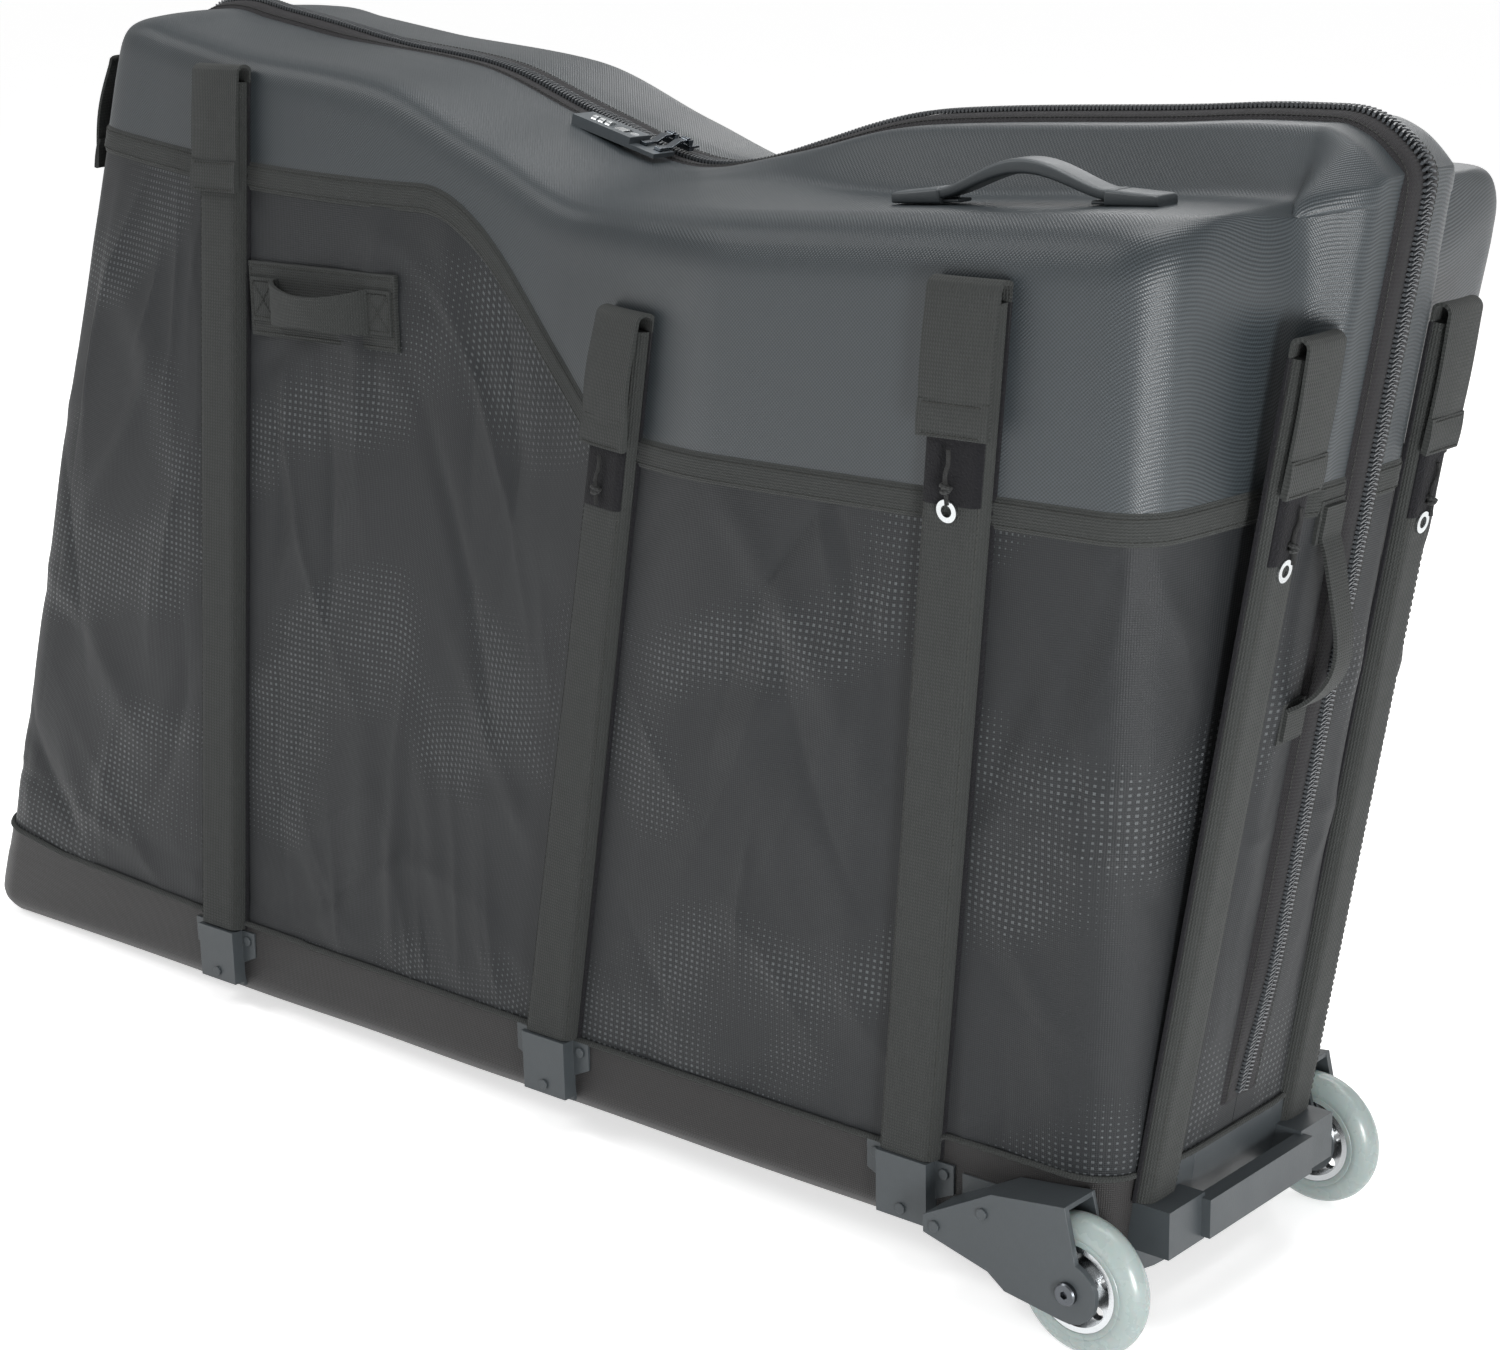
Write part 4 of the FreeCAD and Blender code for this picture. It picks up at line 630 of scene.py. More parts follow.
def moulded(name, rgb, rough, grain=900.0, depth=0.00012, **constants):
    """Moulded plastic: fine grain, faint clouds and scuffs."""
    look = Look(name, rgb, rough, **constants)
    place = look.place()
    look.tint(place.noise(7.0) * 0.7 + place.noise(160.0) * 0.3, 0.1)
    look.roughen(place.noise(38.0, 4.0), 0.09)
    look.relief(place.noise(grain), depth)


def metal(name, rgb, rough):
    """Brushed metal with faint clouds."""
    look = Look(name, rgb, rough, metallic=1.0)
    place = look.place()
    look.tint(place.noise(60.0), 0.05)
    look.roughen(place.noise(420.0, 3.0), 0.07)


def ribbed(name, rgb, pitch, fleck=0.16, rough=0.78):
    """Woven webbing: ribs across its length and a darker line of warp along it."""
    look = Look(name, rgb, rough, specular_ior_level=0.25, sheen_weight=0.06, sheen_roughness=0.5)
    cloth = look.cloth()
    warp = waves(cloth.axis(0), WARP_PITCH)
    ribs = waves(cloth.axis(1) + warp * 0.0006, pitch)
    look.tint(ribs * 0.6 + cloth.noise(420.0) * 0.4, fleck)
    look.roughen(cloth.noise(90.0), 0.08)
    look.relief(ribs * 0.7 + warp * 0.3, 0.0005)


def shell_look():
    """Hard shell faced with a fine twill."""
    look = Look("shell", (45, 50, 53), 0.36, specular_ior_level=0.42, coat_weight=0.06, coat_roughness=0.35)
    cloth, place = look.cloth(), look.place()
    u, v = cloth.axis(0), cloth.axis(1)
    twill = waves(u + v, TWILL_PITCH) * 0.6 + waves(u - v, TWILL_PITCH) * 0.4
    look.tint(twill * 0.8 + place.noise(3.0) * 0.2, 0.4)
    look.roughen(place.noise(14.0, 4.0) * 0.6 + twill * 0.4, 0.07)
    look.relief(twill, 0.00022)


def fabric_look(name, rgb, printed):
    """Coated cloth, with a print of small square dots that swell and fade in drifting bands."""
    look = Look(name, rgb, 0.46, specular_ior_level=0.28, sheen_weight=0.04, sheen_roughness=0.45)
    cloth, place = look.cloth(), look.place()
    weave = waves(cloth.axis(0), WEAVE_PITCH) * 0.5 + waves(cloth.axis(1), WEAVE_PITCH) * 0.5
    ground = look.shade(place.noise(5.0, 4.0) * 0.6 + cloth.noise(700.0) * 0.4, 0.16)
    if printed:
        cells = [cloth.axis(k) * (1 / PRINT_PITCH) for k in (0, 1)]
        whole = [c.math("FLOOR") for c in cells]
        off = [(c - w - 0.5).math("ABSOLUTE") for c, w in zip(cells, whole)]
        spot = cloth.node("CombineXYZ", {k: whole[k] * PRINT_PITCH for k in (0, 1)})
        drift = waves(spot.axis(0) * 0.8 + spot.axis(1) * 1.3 + spot.noise(4.5, 1.0) * 0.5, PRINT_BANDS)
        reach = drift * 0.34 + spot.noise(13.0, 2.0) * 0.5 - 0.38
        dot = off[0].math("MAXIMUM", off[1]) < reach.math("MINIMUM", PRINT_REACH)
        glint = spot.noise(80.0, 1.0) * 0.8 + 0.15
        ground = (dot * glint).blend(ground, colour(*PRINT_GREY))
        look.roughen((1 - dot) * 0.8 + cloth.noise(60.0) * 0.2, 0.1)
    look.set("Base Color", ground)
    look.relief(weave * 0.6 + cloth.noise(260.0, 3.0) * 0.4, 0.0004)


def fuzzy(name, rgb):
    """Hook tape, also used for the dark strips of painted shadow along the sleeves' edges: a dense short pile."""
    look = Look(name, rgb, 0.95, specular_ior_level=0.2, sheen_weight=0.05, sheen_roughness=0.6)
    place = look.place()
    look.tint(place.noise(520.0, 4.0), 0.45)
    look.relief(place.noise(620.0, 5.0), 0.0012)


def tyre_look():
    """Cast tyre, slightly clear."""
    look = Look("tyre", (150, 162, 160), 0.28, subsurface_weight=0.2, subsurface_scale=0.006,
                coat_weight=0.2, coat_roughness=0.2)
    place = look.place()
    look.tint(place.noise(30.0, 3.0), 0.02)
    look.roughen(place.noise(90.0, 4.0), 0.1)
    look.relief(place.noise(500.0), 0.00008)


shell_look()
fabric_look("fabric", (33, 35, 37), True)
fabric_look("tray", (40, 39, 39), False)
ribbed("webbing", (49, 51, 50), 0.0021)
ribbed("zip_tape", (36, 35, 37), 0.0012, 0.1)
ribbed("cord", (46, 47, 47), 0.0022, 0.25, 0.7)
moulded("thread", (54, 55, 53), 0.7, specular_ior_level=0.25)
moulded("coil", (76, 79, 82), 0.26)
fuzzy("hook", (19, 19, 22))
moulded("plate", (64, 69, 72), 0.42, specular_ior_level=0.42)
moulded("board", (38, 40, 42), 0.6, 300.0, 0.0004, specular_ior_level=0.3)
moulded("lock", (92, 98, 102), 0.34, metallic=0.55)
moulded("pole", (214, 214, 206), 0.4)
metal("hub", (205, 208, 210), 0.24)
metal("steel", (196, 199, 200), 0.28)
metal("chrome", (120, 126, 132), 0.18)
metal("bolt", (92, 95, 99), 0.3)
tyre_look()

# Shells, fabric sides and skirt

SHELL_OUT, SHELL_WALL, PANEL_WALL, PANEL_LAP, PANEL_FILL, CREASE_SEED = 1.0, 2.5, 5.0, 0.4, 0.75, 21
GUSSET_HEAD, GUSSET_FOOT, GUSSET_HALF, GUSSET_GAP = ZIP_FOOT + 4, 72.0, 20.6, 0.3
BEND_X, BEND_FOOT, BEND_HEAD = 600.0, 61.0, 112.0
SKIRT_OUT, SKIRT_BACK, SKIRT_PUFF, SKIRT_WAVE, SKIRT_WAVE_RUN, MIDDLE_Y = 1.4, 0.5, 1.6, 0.25, 47.0, 0.2
PIPING_RADIUS, PIPING_OUT = 2.3, 1.8
BINDING_HALF, BINDING_RISE, BINDING_SEAM = 11.0, (1.2, 2.4, 2.7, 2.3, 2.7, 2.4, 1.0), 2.5
SLEEVE_WIDTH, END_SLEEVE_WIDTH, NOSE_POLE_Y, TAIL_POLE_Y = 50.0, 38.0, 86.0, 76.0
SLEEVE_FOOT, TAIL_FOOT, SLEEVE_RISE, SLEEVE_HEM, SLEEVE_EDGE, SLEEVE_EASE = 60.8, 89.6, 12.0, 1.8, 9.0, 45.0
# Pole sleeves: name, face they lie on, line of their middle, width and top
SLEEVES = (
    ("rear", SIDE, lambda z: station_x("rear_pole", z), SLEEVE_WIDTH, 768.0),
    ("mid", SIDE, lambda z: station_x("mid_pole", z), SLEEVE_WIDTH, 622.0),
    ("front", SIDE, lambda z: station_x("front_pole", z), SLEEVE_WIDTH, 670.0),
    ("nose", FACE, lambda z: NOSE_POLE_Y + 0.0 * z, END_SLEEVE_WIDTH, 634.0),
    ("tail", TAIL, lambda z: TAIL_POLE_Y + 0.0 * z, END_SLEEVE_WIDTH, 768.0),
)
# Folds: how many, least and most rise, range of half widths, and whether they are crisp
FOLDS = ((90, 1.0, 3.2, (9, 24), False), (90, 1.4, 4.4, (6, 14), True))
FOLD_LEAN, FOLD_RUN, FOLD_BOW = 0.7, (40, 130), 0.002
TUCKS, TUCK_LEAN, TUCK_RISE, TUCK_RUN, TUCK_HALF = 30, 0.45, (-2.8, 4.4), (50, 150), (8, 16)
PADDING, DEEPEST, HIGHEST, HEM_HEAD, HEM_FOOT, HEM_COLUMNS = 2.4, -4.4, 9.0, 34.0, 26.0, 6


def sleeve_fade(grid):
    """0 under a pole sleeve, 1 well away from it."""
    fade = np.ones(grid.shape[:2])
    column = np.arange(len(grid))[:, None]
    for _, chart, line, width, _ in SLEEVES:
        across = grid[..., 0] if chart is SIDE else grid[..., 1]
        off = np.abs(across - line(grid[..., 2])) - width / 2
        here = np.clip(off / SLEEVE_EASE, 0, 1) ** 0.7
        if chart is not SIDE:
            at_end = column >= SIDE_COLUMNS[1] if chart is FACE else column <= SIDE_COLUMNS[0]
            here = np.where(at_end, here, 1)
        fade *= here
    return fade


def creases(grid):
    """Padding and creases of the fabric, in millimetres outwards."""
    draw = np.random.default_rng(CREASE_SEED)
    uv = measure_of(grid) * 1000
    u, v = uv[..., 0], uv[..., 1]
    deep = v[:, -1:]
    fade = sleeve_fade(grid)
    rise = PADDING * fade * np.abs(np.sin(np.pi * v / deep)) ** 0.5
    for count, low, high, wide, crisp in FOLDS:
        for _ in range(count):
            cu, cv = draw.uniform(0, u.max()), draw.uniform(0, v.max())
            lean = draw.normal(math.pi / 2, FOLD_LEAN)
            length, width = draw.uniform(*FOLD_RUN), draw.uniform(*wide)
            p = (u - cu) * math.cos(lean) + (v - cv) * math.sin(lean)
            q = -(u - cu) * math.sin(lean) + (v - cv) * math.cos(lean) + draw.uniform(-FOLD_BOW, FOLD_BOW) * p ** 2
            size = draw.uniform(low, high) * draw.choice((-1, 1, 1))
            across = np.abs(q / width)
            rise += size * np.exp(-(p / length) ** 2 - (across if crisp else across ** 2)) * fade
    for cu in draw.uniform(0, u.max(), TUCKS):
        lean = draw.normal(0, TUCK_LEAN)
        p, q = deep - v, (u - cu) - (deep - v) * math.tan(lean)
        size, length, width = (draw.uniform(*span) for span in (TUCK_RISE, TUCK_RUN, TUCK_HALF))
        rise += size * np.exp(-(p / length) ** 2 - np.abs(q / width))
    hem = np.clip(v / HEM_HEAD, 0, 1) * np.clip((deep - v) / HEM_FOOT, 0, 1)
    column = np.arange(len(grid))
    border = np.clip(np.minimum(column, column[::-1]) / HEM_COLUMNS, 0, 1)[:, None]
    return np.clip(rise, DEEPEST, HIGHEST) * hem ** 0.7 * border


def build_shell(side):
    low = rows_between(np.full(len(SURFACE), float(SHOULDER_END)), SEAM, 16)
    shell = np.concatenate([SURFACE[:, :SHOULDER_END], low], axis=1)
    normal = normals_of(shell)
    form = Form()
    form.slab(shell + SHELL_OUT * normal, shell - SHELL_WALL * normal)
    form.on_side(side, "shell_skin", "shell", "shell", SOFT_EDGE)


def add_gusset(form, front, way):
    """Fabric below the zip's foot, across to the middle of the end."""
    z, y = np.meshgrid(np.linspace(GUSSET_HEAD, GUSSET_FOOT, 8), np.linspace(GUSSET_HALF, GUSSET_GAP, 8))
    gusset = np.stack([front(z), y, z], axis=2)
    form.slab(gusset, gusset - (PANEL_WALL * way, 0, 0))


def build_panels(side):
    """Padded fabric in three pieces: the ends ride on the side, the middle one bends along the base."""
    body = side + "_side"
    panel = rows_between(SEAM, EDGE + PANEL_LAP, 104)
    normal = normals_of(panel)
    outer, inner = panel + creases(panel)[..., None] * normal, panel - PANEL_WALL * normal
    uv = measure_of(panel)
    a, b = SIDE_COLUMNS
    parts = {}
    for name, span in (("rear_end", slice(0, a + 1)), ("side", slice(a, b + 1)), ("wheel_end", slice(b, None))):
        form = Form()
        form.slab(outer[span], inner[span], uv[span])
        if name != "side":
            add_gusset(form, *((zip_front_x, 1) if name == "wheel_end" else (rear_x, -1)))
        rides = None if name == "side" else body
        parts[name] = form.piece(f"{side}_panel_{name}", "fabric", rides, SIGN[side], (), SOFT_EDGE)
    start, end = (to_row((BEND_X, SIGN[side] * BASE_HALF, z)) for z in (BEND_FOOT, BEND_HEAD))
    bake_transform(parts["side"], "base", body, start=start, end=end)
    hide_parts(side + "_panel")


def carried_on(grid):
    """A grid or line with its end rows doubled, to carry them on to the middle of the case."""
    return np.concatenate([grid[:1], grid, grid[-1:]])


def build_skirt(side):
    skirt = rows_between(EDGE, np.full(len(SURFACE), SURFACE.shape[1] - 1.0), 16)
    swell = (1 + SKIRT_WAVE * np.sin(ALONG / SKIRT_WAVE_RUN))[:, None, None]
    puff = SKIRT_OUT + SKIRT_PUFF * np.sin(np.linspace(0, np.pi, 16))[None, :, None] * swell
    skirt, normal, puff = map(carried_on, (skirt, normals_of(skirt), puff))
    skirt[0, :, 1] = skirt[-1, :, 1] = MIDDLE_Y
    form, piping = Form(), Form()
    form.slab(skirt + puff * normal, skirt - SKIRT_BACK * normal)
    form.piece(side + "_skirt", "tray", "base", SIGN[side], (), SOFT_EDGE)
    edge = rows_between(EDGE - 0.25, EDGE + 0.1, 3)
    line = carried_on(edge[:, 1] + PIPING_OUT * normals_of(edge)[:, 1])
    line[0, 1] = line[-1, 1] = MIDDLE_Y
    piping.rod(line, PIPING_RADIUS)
    piping.piece(side + "_skirt_piping", "webbing", "base", SIGN[side])


def build_binding(side):
    """Webbing sewn over the seam between shell and fabric."""
    about = [at_place(c, np.array([p + 0.5, p - 0.5])) for c, p in zip(SURFACE, SEAM)]
    steps = np.linalg.norm(np.subtract(*np.swapaxes(about, 0, 1)), axis=1)
    grid = rows_between(SEAM - BINDING_HALF / steps, SEAM + BINDING_HALF / steps, len(BINDING_RISE))
    normal = normals_of(grid)
    form, thread = Form(), Form()
    form.slab(grid + np.array(BINDING_RISE)[None, :, None] * normal, grid + 0.3 * normal)
    form.on_side(side, "seam_binding", "webbing", "binding", SOFT_EDGE)
    for row in (1, 5):
        thread.stitches(grid[:, row] + BINDING_SEAM * normal[:, row], normal[:, row])
    thread.on_side(side, "binding_thread", "thread")


# Zip

ZIP_STEP, ZIP_STAND, ZIP_ARCH, ZIP_EASE = 3.2, 6.5, 22.0, 120.0
LOCK_X, LOCK_CLEAR, LOCK_EASE = 690.0, 170.0, 110.0
TAPE_ACROSS = np.array([1.2, 4.5, 7.0, 11.0, 15.0, 18.5, 21.0, 23.5])
TAPE_RISE, TAPE_BACK, TAPE_SEAM = np.array([0.6, 0.7, 1.1, 1.9, 2.2, 1.9, 0.7, -0.6]), -2.2, (18.6, 2.3)
TOOTH = ((-0.9, 0.6, 0.0), (1.1, 0.68, 0.0), (2.6, 1.1, 0.4), (5.9, 1.1, 1.5))  # across, half width, lean
TOOTH_RISE, TOOTH_HALF, TOOTH_SHIFT, TOOTH_ROOT = 2.5, 1.8, 0.8, 4.0


def zip_line():
    """Middle of the zip over the case: (x, z) every few millimetres, its outward normal and its way."""
    ridge = SURFACE[:, 0, (0, 2)]
    up, down = np.linspace(ZIP_FOOT, ridge[0, 1] - 4, 120), np.linspace(ridge[-1, 1] - 4, ZIP_FOOT, 120)
    line = np.concatenate([np.stack([rear_x(up), up], axis=1), ridge, np.stack([zip_front_x(down), down], axis=1)])
    run = run_along(line)
    line = spots_on(line, run, np.arange(0, run[-1], ZIP_STEP))
    ease(line, 10)
    way = unit(np.gradient(line, axis=0))
    return line, np.stack([-way[:, 1], way[:, 0]], axis=1), way


ZIP, ZIP_OUT, ZIP_WAY = zip_line()


def zip_stand(y):
    """How far the tapes stand up off the shell: not at the lock, the sliders and the zip's ends."""
    along = np.arange(len(ZIP)) * ZIP_STEP
    share = np.clip(np.minimum(along, along[::-1]) / ZIP_EASE, 0, 1)
    share = share * np.clip((np.abs(ZIP[:, 0] - LOCK_X) - LOCK_CLEAR) / LOCK_EASE, 0, 1)
    return ZIP_STAND * (share * share * (3 - 2 * share))[:, None] * (1 - (np.atleast_1d(y) / ZIP_ARCH) ** 2)


def zip_points(y, out):
    """Points beside the zip's middle: y across, out off the surface."""
    y, out = np.broadcast_arrays(np.asarray(y, float), np.asarray(out, float))
    flat = ZIP[:, None] + (out + zip_stand(y))[..., None] * ZIP_OUT[:, None]
    return np.stack([flat[..., 0], np.broadcast_to(y, flat.shape[:2]), flat[..., 1]], axis=2)


def build_zip(side):
    form, coil, thread = Form(), Form(), Form()
    form.slab(zip_points(TAPE_ACROSS, TAPE_RISE), zip_points(TAPE_ACROSS, TAPE_BACK))
    form.on_side(side, "zip_tapes", "zip_tape", "zip", SOFT_EDGE)
    turn = np.linspace(0, 2 * np.pi, 6, endpoint=False)[:, None]
    stand = zip_stand(TOOTH_ROOT)
    for k in range(2, len(ZIP) - 2):
        rings = []
        for y, wide, lean in TOOTH:
            middle = ZIP[k] + ZIP_WAY[k] * (lean + TOOTH_SHIFT * SIGN[side]) + ZIP_OUT[k] * (TOOTH_RISE + stand[k, 0])
            flat = middle + np.cos(turn) * wide * ZIP_WAY[k] + np.sin(turn) * TOOTH_HALF * ZIP_OUT[k]
            rings.append(np.stack([flat[:, 0], np.full(6, y), flat[:, 1]], axis=1))
        coil.tube(rings)
    coil.on_side(side, "zip_coil", "coil")
    normal = np.stack([ZIP_OUT[:, 0], 0 * ZIP_OUT[:, 0], ZIP_OUT[:, 1]], axis=1)
    thread.stitches(zip_points(*TAPE_SEAM)[:, 0], normal, 3.6, 2.4, 0.35)
    thread.on_side(side, "zip_thread", "thread")


# Sleeves, flaps and cords

SLEEVE_ROW, SLEEVE_SEAM, SLEEVE_SEED, SLEEVE_BACK = 7.0, 4.0, 11, 0.3
SOFT_RISE, SOFT_RUN, SOFT_SWELL = 0.35, 31.0, 83.0
# Painted shadow: dark strips along both edges of every sleeve, where the sleeves' sides throw shade (across, rise,
# back)
PAINTED_SHADOW_ACROSS, PAINTED_SHADOW_RISE, PAINTED_SHADOW_BACK = np.array([-0.6, 0.6, 1.8, 2.6]), np.array([2.2, 2.6, 2.2, 0.8]), 0.2
PATCH_FOOT, PATCH_HEAD, PATCH_MARGIN, PATCH_FACE, PATCH_BACK = 128.0, 80.0, 3.0, 1.1, 0.8
FLAP_RISE, FLAP_SLACK = 7.0, {"rear": 1.0, "mid": 3.4, "front": 2.2, "nose": 1.2, "tail": 5.0}
FLAP_MIDDLE, FLAP_REACH, FLAP_CREST, FLAP_DROP, FLAP_TUCK = 8.0, 6.2, 5.5, 90.0, 22.0
FLAP_THICK, FLAP_WIDER, FLAP_CUP, FLAP_CLEAR, FLAP_HINGE = 2.3, 4.0, 0.9, 0.4, (3.0, 12.0)
FLAP_HEM, FLAP_HEM_SEAMS, FLAP_SEAM_OUT = (84.0, 60.0), (62.0, 82.0), 2.6
CORD_LENGTH, CORD_DIAMETER, CORD_SWAY, CORD_BENDS, CORD_TAIL = 0.0355, 0.003, 0.0016, (0.008, 0.017), 0.0105
CORD_TOP, KNOT_FOOT = 0.0012, 0.0079  # how much of a CAD cord's ends gives its top and its knot
KNOT_REACH, KNOT_CLIMB, KNOT_CORE, KNOT_CORD = 0.0025, 0.0018, 0.0026, 1.45
ACROSS_CASE = (0.0, 1.0, 0.0)


def sleeve_rise(across, width):
    """Height of a sleeve's face over its width."""
    edge = np.clip((width / 2 - np.abs(across)) / SLEEVE_EDGE, 0, 1)
    return SLEEVE_HEM + (SLEEVE_RISE - SLEEVE_HEM) * np.sqrt(np.clip(1 - (1 - edge) ** 2, 0, 1))


def build_sleeves(side):
    """Pole sleeves with their stitches and dark strips of painted shadow along their edges, and hook patches on all but
    the rear one.
    """
    form, thread, hook, painted_shadow = Form(), Form(), Form(), Form()
    draw = np.random.default_rng(SLEEVE_SEED)
    for name, chart, line, width, top in SLEEVES:
        foot = TAIL_FOOT if name == "tail" else SLEEVE_FOOT
        z = np.linspace(foot, top, int((top - foot) / SLEEVE_ROW))[:, None]
        across = width / 2 * np.sin(np.linspace(-np.pi / 2, np.pi / 2, 19))[None, :]
        soft = SOFT_RISE * np.sin(z / SOFT_RUN + draw.uniform(0, 6)) * np.sin(z / SOFT_SWELL)
        rise = sleeve_rise(across, width) + soft * (1 - (2 * across / width) ** 2)
        form.patch(chart, line(z) + across, z, rise, SLEEVE_BACK)
        for edge in (-1, 1):
            # Dark strip of painted shadow beside this edge of the sleeve
            across = edge * (width / 2 + PAINTED_SHADOW_ACROSS)[None, ::edge]
            painted_shadow.patch(chart, line(z) + across, z, PAINTED_SHADOW_RISE[None, ::edge], PAINTED_SHADOW_BACK)
            spot = edge * (width / 2 - SLEEVE_SEAM)
            thread.sew(chart, line(z[:, 0]) + spot, z[:, 0], sleeve_rise(spot, width), 4.6)
        if name != "rear":
            z = np.linspace(top - PATCH_FOOT, top - PATCH_HEAD, 9)[:, None]
            across = np.linspace(PATCH_MARGIN - width / 2, width / 2 - PATCH_MARGIN, 13)[None, :]
            rise = sleeve_rise(across, width)
            hook.patch(chart, line(z) + across, z, rise + PATCH_FACE, rise - PATCH_BACK)
    form.on_side(side, "sleeve_webbing", "webbing", "sleeves", WEBBING_EDGE)
    thread.on_side(side, "sleeve_thread", "thread")
    # The strips of painted shadow take the dark hook tape's material
    painted_shadow.on_side(side, "sleeve_painted_shadows", "hook")
    hook.on_side(side, "hook_patches", "hook")


def flap_path(top, slack):
    """Run of a flap's webbing over the pole's end: (z, out), from behind the sleeve down its face."""
    pivot = top + FLAP_RISE
    turn = np.linspace(np.pi, 0, 13)
    over = np.stack([pivot + FLAP_CREST * np.sin(turn), FLAP_MIDDLE + FLAP_REACH * np.cos(turn)], axis=1)
    drop = np.linspace(0, 1, 15)[1:]
    face = np.stack([pivot - FLAP_DROP * drop, FLAP_MIDDLE + FLAP_REACH + slack * np.sin(np.pi * drop) ** 1.3], axis=1)
    back = np.stack([np.linspace(top - FLAP_TUCK, pivot - 3, 6), np.full(6, SLEEVE_HEM)], axis=1)
    return np.concatenate([back, over, face])


def build_flaps(side):
    """Fold-over flaps, each with a sewn hem at its tip, bending at the pole's end."""
    for name, chart, line, width, top in SLEEVES:
        body = f"{side}_{name}_flap"
        path = flap_path(top, FLAP_SLACK[name])
        way = unit(np.gradient(path, axis=0))
        normal = np.stack([-way[:, 1], way[:, 0]], axis=1)
        half = (width + FLAP_WIDER) / 2
        across = np.linspace(-half, half, 11)[None, :]
        cup = FLAP_CUP * (across / half) ** 2
        faces = []
        for off in (FLAP_THICK / 2, -FLAP_THICK / 2):
            z, out = (path + off * normal).T[..., None]
            faces.append(chart.place(line(z) + across, z, np.maximum(out - cup, FLAP_CLEAR)))
        form, thread = Form(), Form()
        form.slab(*faces)
        tip = path[-1, 1]
        z = np.linspace(top - FLAP_HEM[0], top - FLAP_HEM[1], 6)[:, None]
        shown = tip + 1.0 + 0.8 * np.sin(np.linspace(0, np.pi, 6))[:, None]
        form.patch(chart, line(z) + across * 0.995, z, shown + 1.2, shown - 1.4)
        piece = form.piece(body + "_webbing", "webbing", None, SIGN[side], (), WEBBING_EDGE)
        pivot = top + FLAP_RISE
        start, end = (to_row(chart.place(line(np.array(pivot)), pivot, out) * (1, SIGN[side], 1)) for out in FLAP_HINGE)
        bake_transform(piece, side + "_side", body, start=start, end=end)
        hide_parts(body)
        for low in FLAP_HEM_SEAMS:
            thread.sew(chart, line(np.array(top - low)) + across[0] * 0.9, top - low, tip + FLAP_SEAM_OUT, 4.0)
        thread.piece(body + "_thread", "thread", body, SIGN[side])


def islands(node):
    """Separate solids of a CAD node, as arrays of row-frame points."""
    mesh = frame["nodes"][node].data
    points = np.empty(len(mesh.vertices) * 3)
    mesh.vertices.foreach_get("co", points)
    points = points.reshape(-1, 3)
    _, same = np.unique(np.round(points, 6), axis=0, return_inverse=True)
    same = same.ravel()
    label = same.copy()
    pairs = np.array([edge.vertices[:] for edge in mesh.edges])
    while True:
        before = label.copy()
        np.minimum.at(label, pairs[:, 0], label[pairs[:, 1]])
        np.minimum.at(label, pairs[:, 1], label[pairs[:, 0]])
        lowest = np.full(same.max() + 1, len(points))
        np.minimum.at(lowest, same, label)
        label = lowest[same]
        if (label == before).all():
            return [points[label == value] for value in np.unique(label)]


def build_cords(side):
    """Pull cords with their knots, along the CAD cords' own lines."""
    solids = islands(side + "_pull_cords")
    for k, solid in enumerate(sorted(solids, key=lambda p: p[:, 0].mean())):
        high, low = solid[:, 2].max(), solid[:, 2].min()
        top = solid[solid[:, 2] > high - CORD_TOP].mean(axis=0)
        knot = solid[solid[:, 2] < low + KNOT_FOOT].mean(axis=0)
        way = (knot - top) / np.linalg.norm(knot - top)
        sway = np.cross(way, ACROSS_CASE) * CORD_SWAY
        curve = bpy.data.curves.new(f"{side}_cord_{k + 1}", "CURVE")
        curve.dimensions = "3D"
        curve.bevel_depth, curve.bevel_resolution, curve.resolution_u = CORD_DIAMETER / 2, 3, 10
        bends = [top + way * CORD_BENDS[0] + sway, top + way * CORD_BENDS[1] - sway]
        points = [top, *bends, knot, knot + way * CORD_TAIL + sway]
        spline = curve.splines.new("NURBS")
        spline.points.add(len(points) - 1)
        for spot, point in zip(spline.points, points):
            spot.co = (*point, 1.0)
        spline.order_u = 3
        spline.use_endpoint_u = True
        curve.use_fill_caps = True
        curve.materials.append(LOOKS["cord"])
        cord = bpy.data.objects.new(curve.name, curve)
        bpy.context.collection.objects.link(cord)
        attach(cord, side + "_side")
        knot_piece = build_knot(f"{side}_knot_{k + 1}", knot, way, side + "_side")
        if k == 0:
            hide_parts(side + "_pull_cords")
        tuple(points[0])


def build_knot(name, middle, way, body):
    """Overhand knot: a short cord wound round itself."""
    across = unit(np.cross(way, ACROSS_CASE))
    other = np.cross(way, across)
    turn = np.linspace(0, 4 * np.pi, 40)[:, None]
    reach = KNOT_REACH + 0.0004 * np.sin(turn * 1.5)
    climb = KNOT_CLIMB * np.sin(turn / 2 + 0.4)
    form = Form()
    form.rod((middle + reach * (np.cos(turn) * across + np.sin(turn) * other) + climb * way) * 1000, KNOT_CORD)
    core = middle + np.linspace(-KNOT_CORE, KNOT_CORE, 5)[:, None] * way
    form.rod(core * 1000, np.array([1.2, 2.6, 3.0, 2.6, 1.2]))
    return form.piece(name, "cord", body, in_row=True)


# Handles

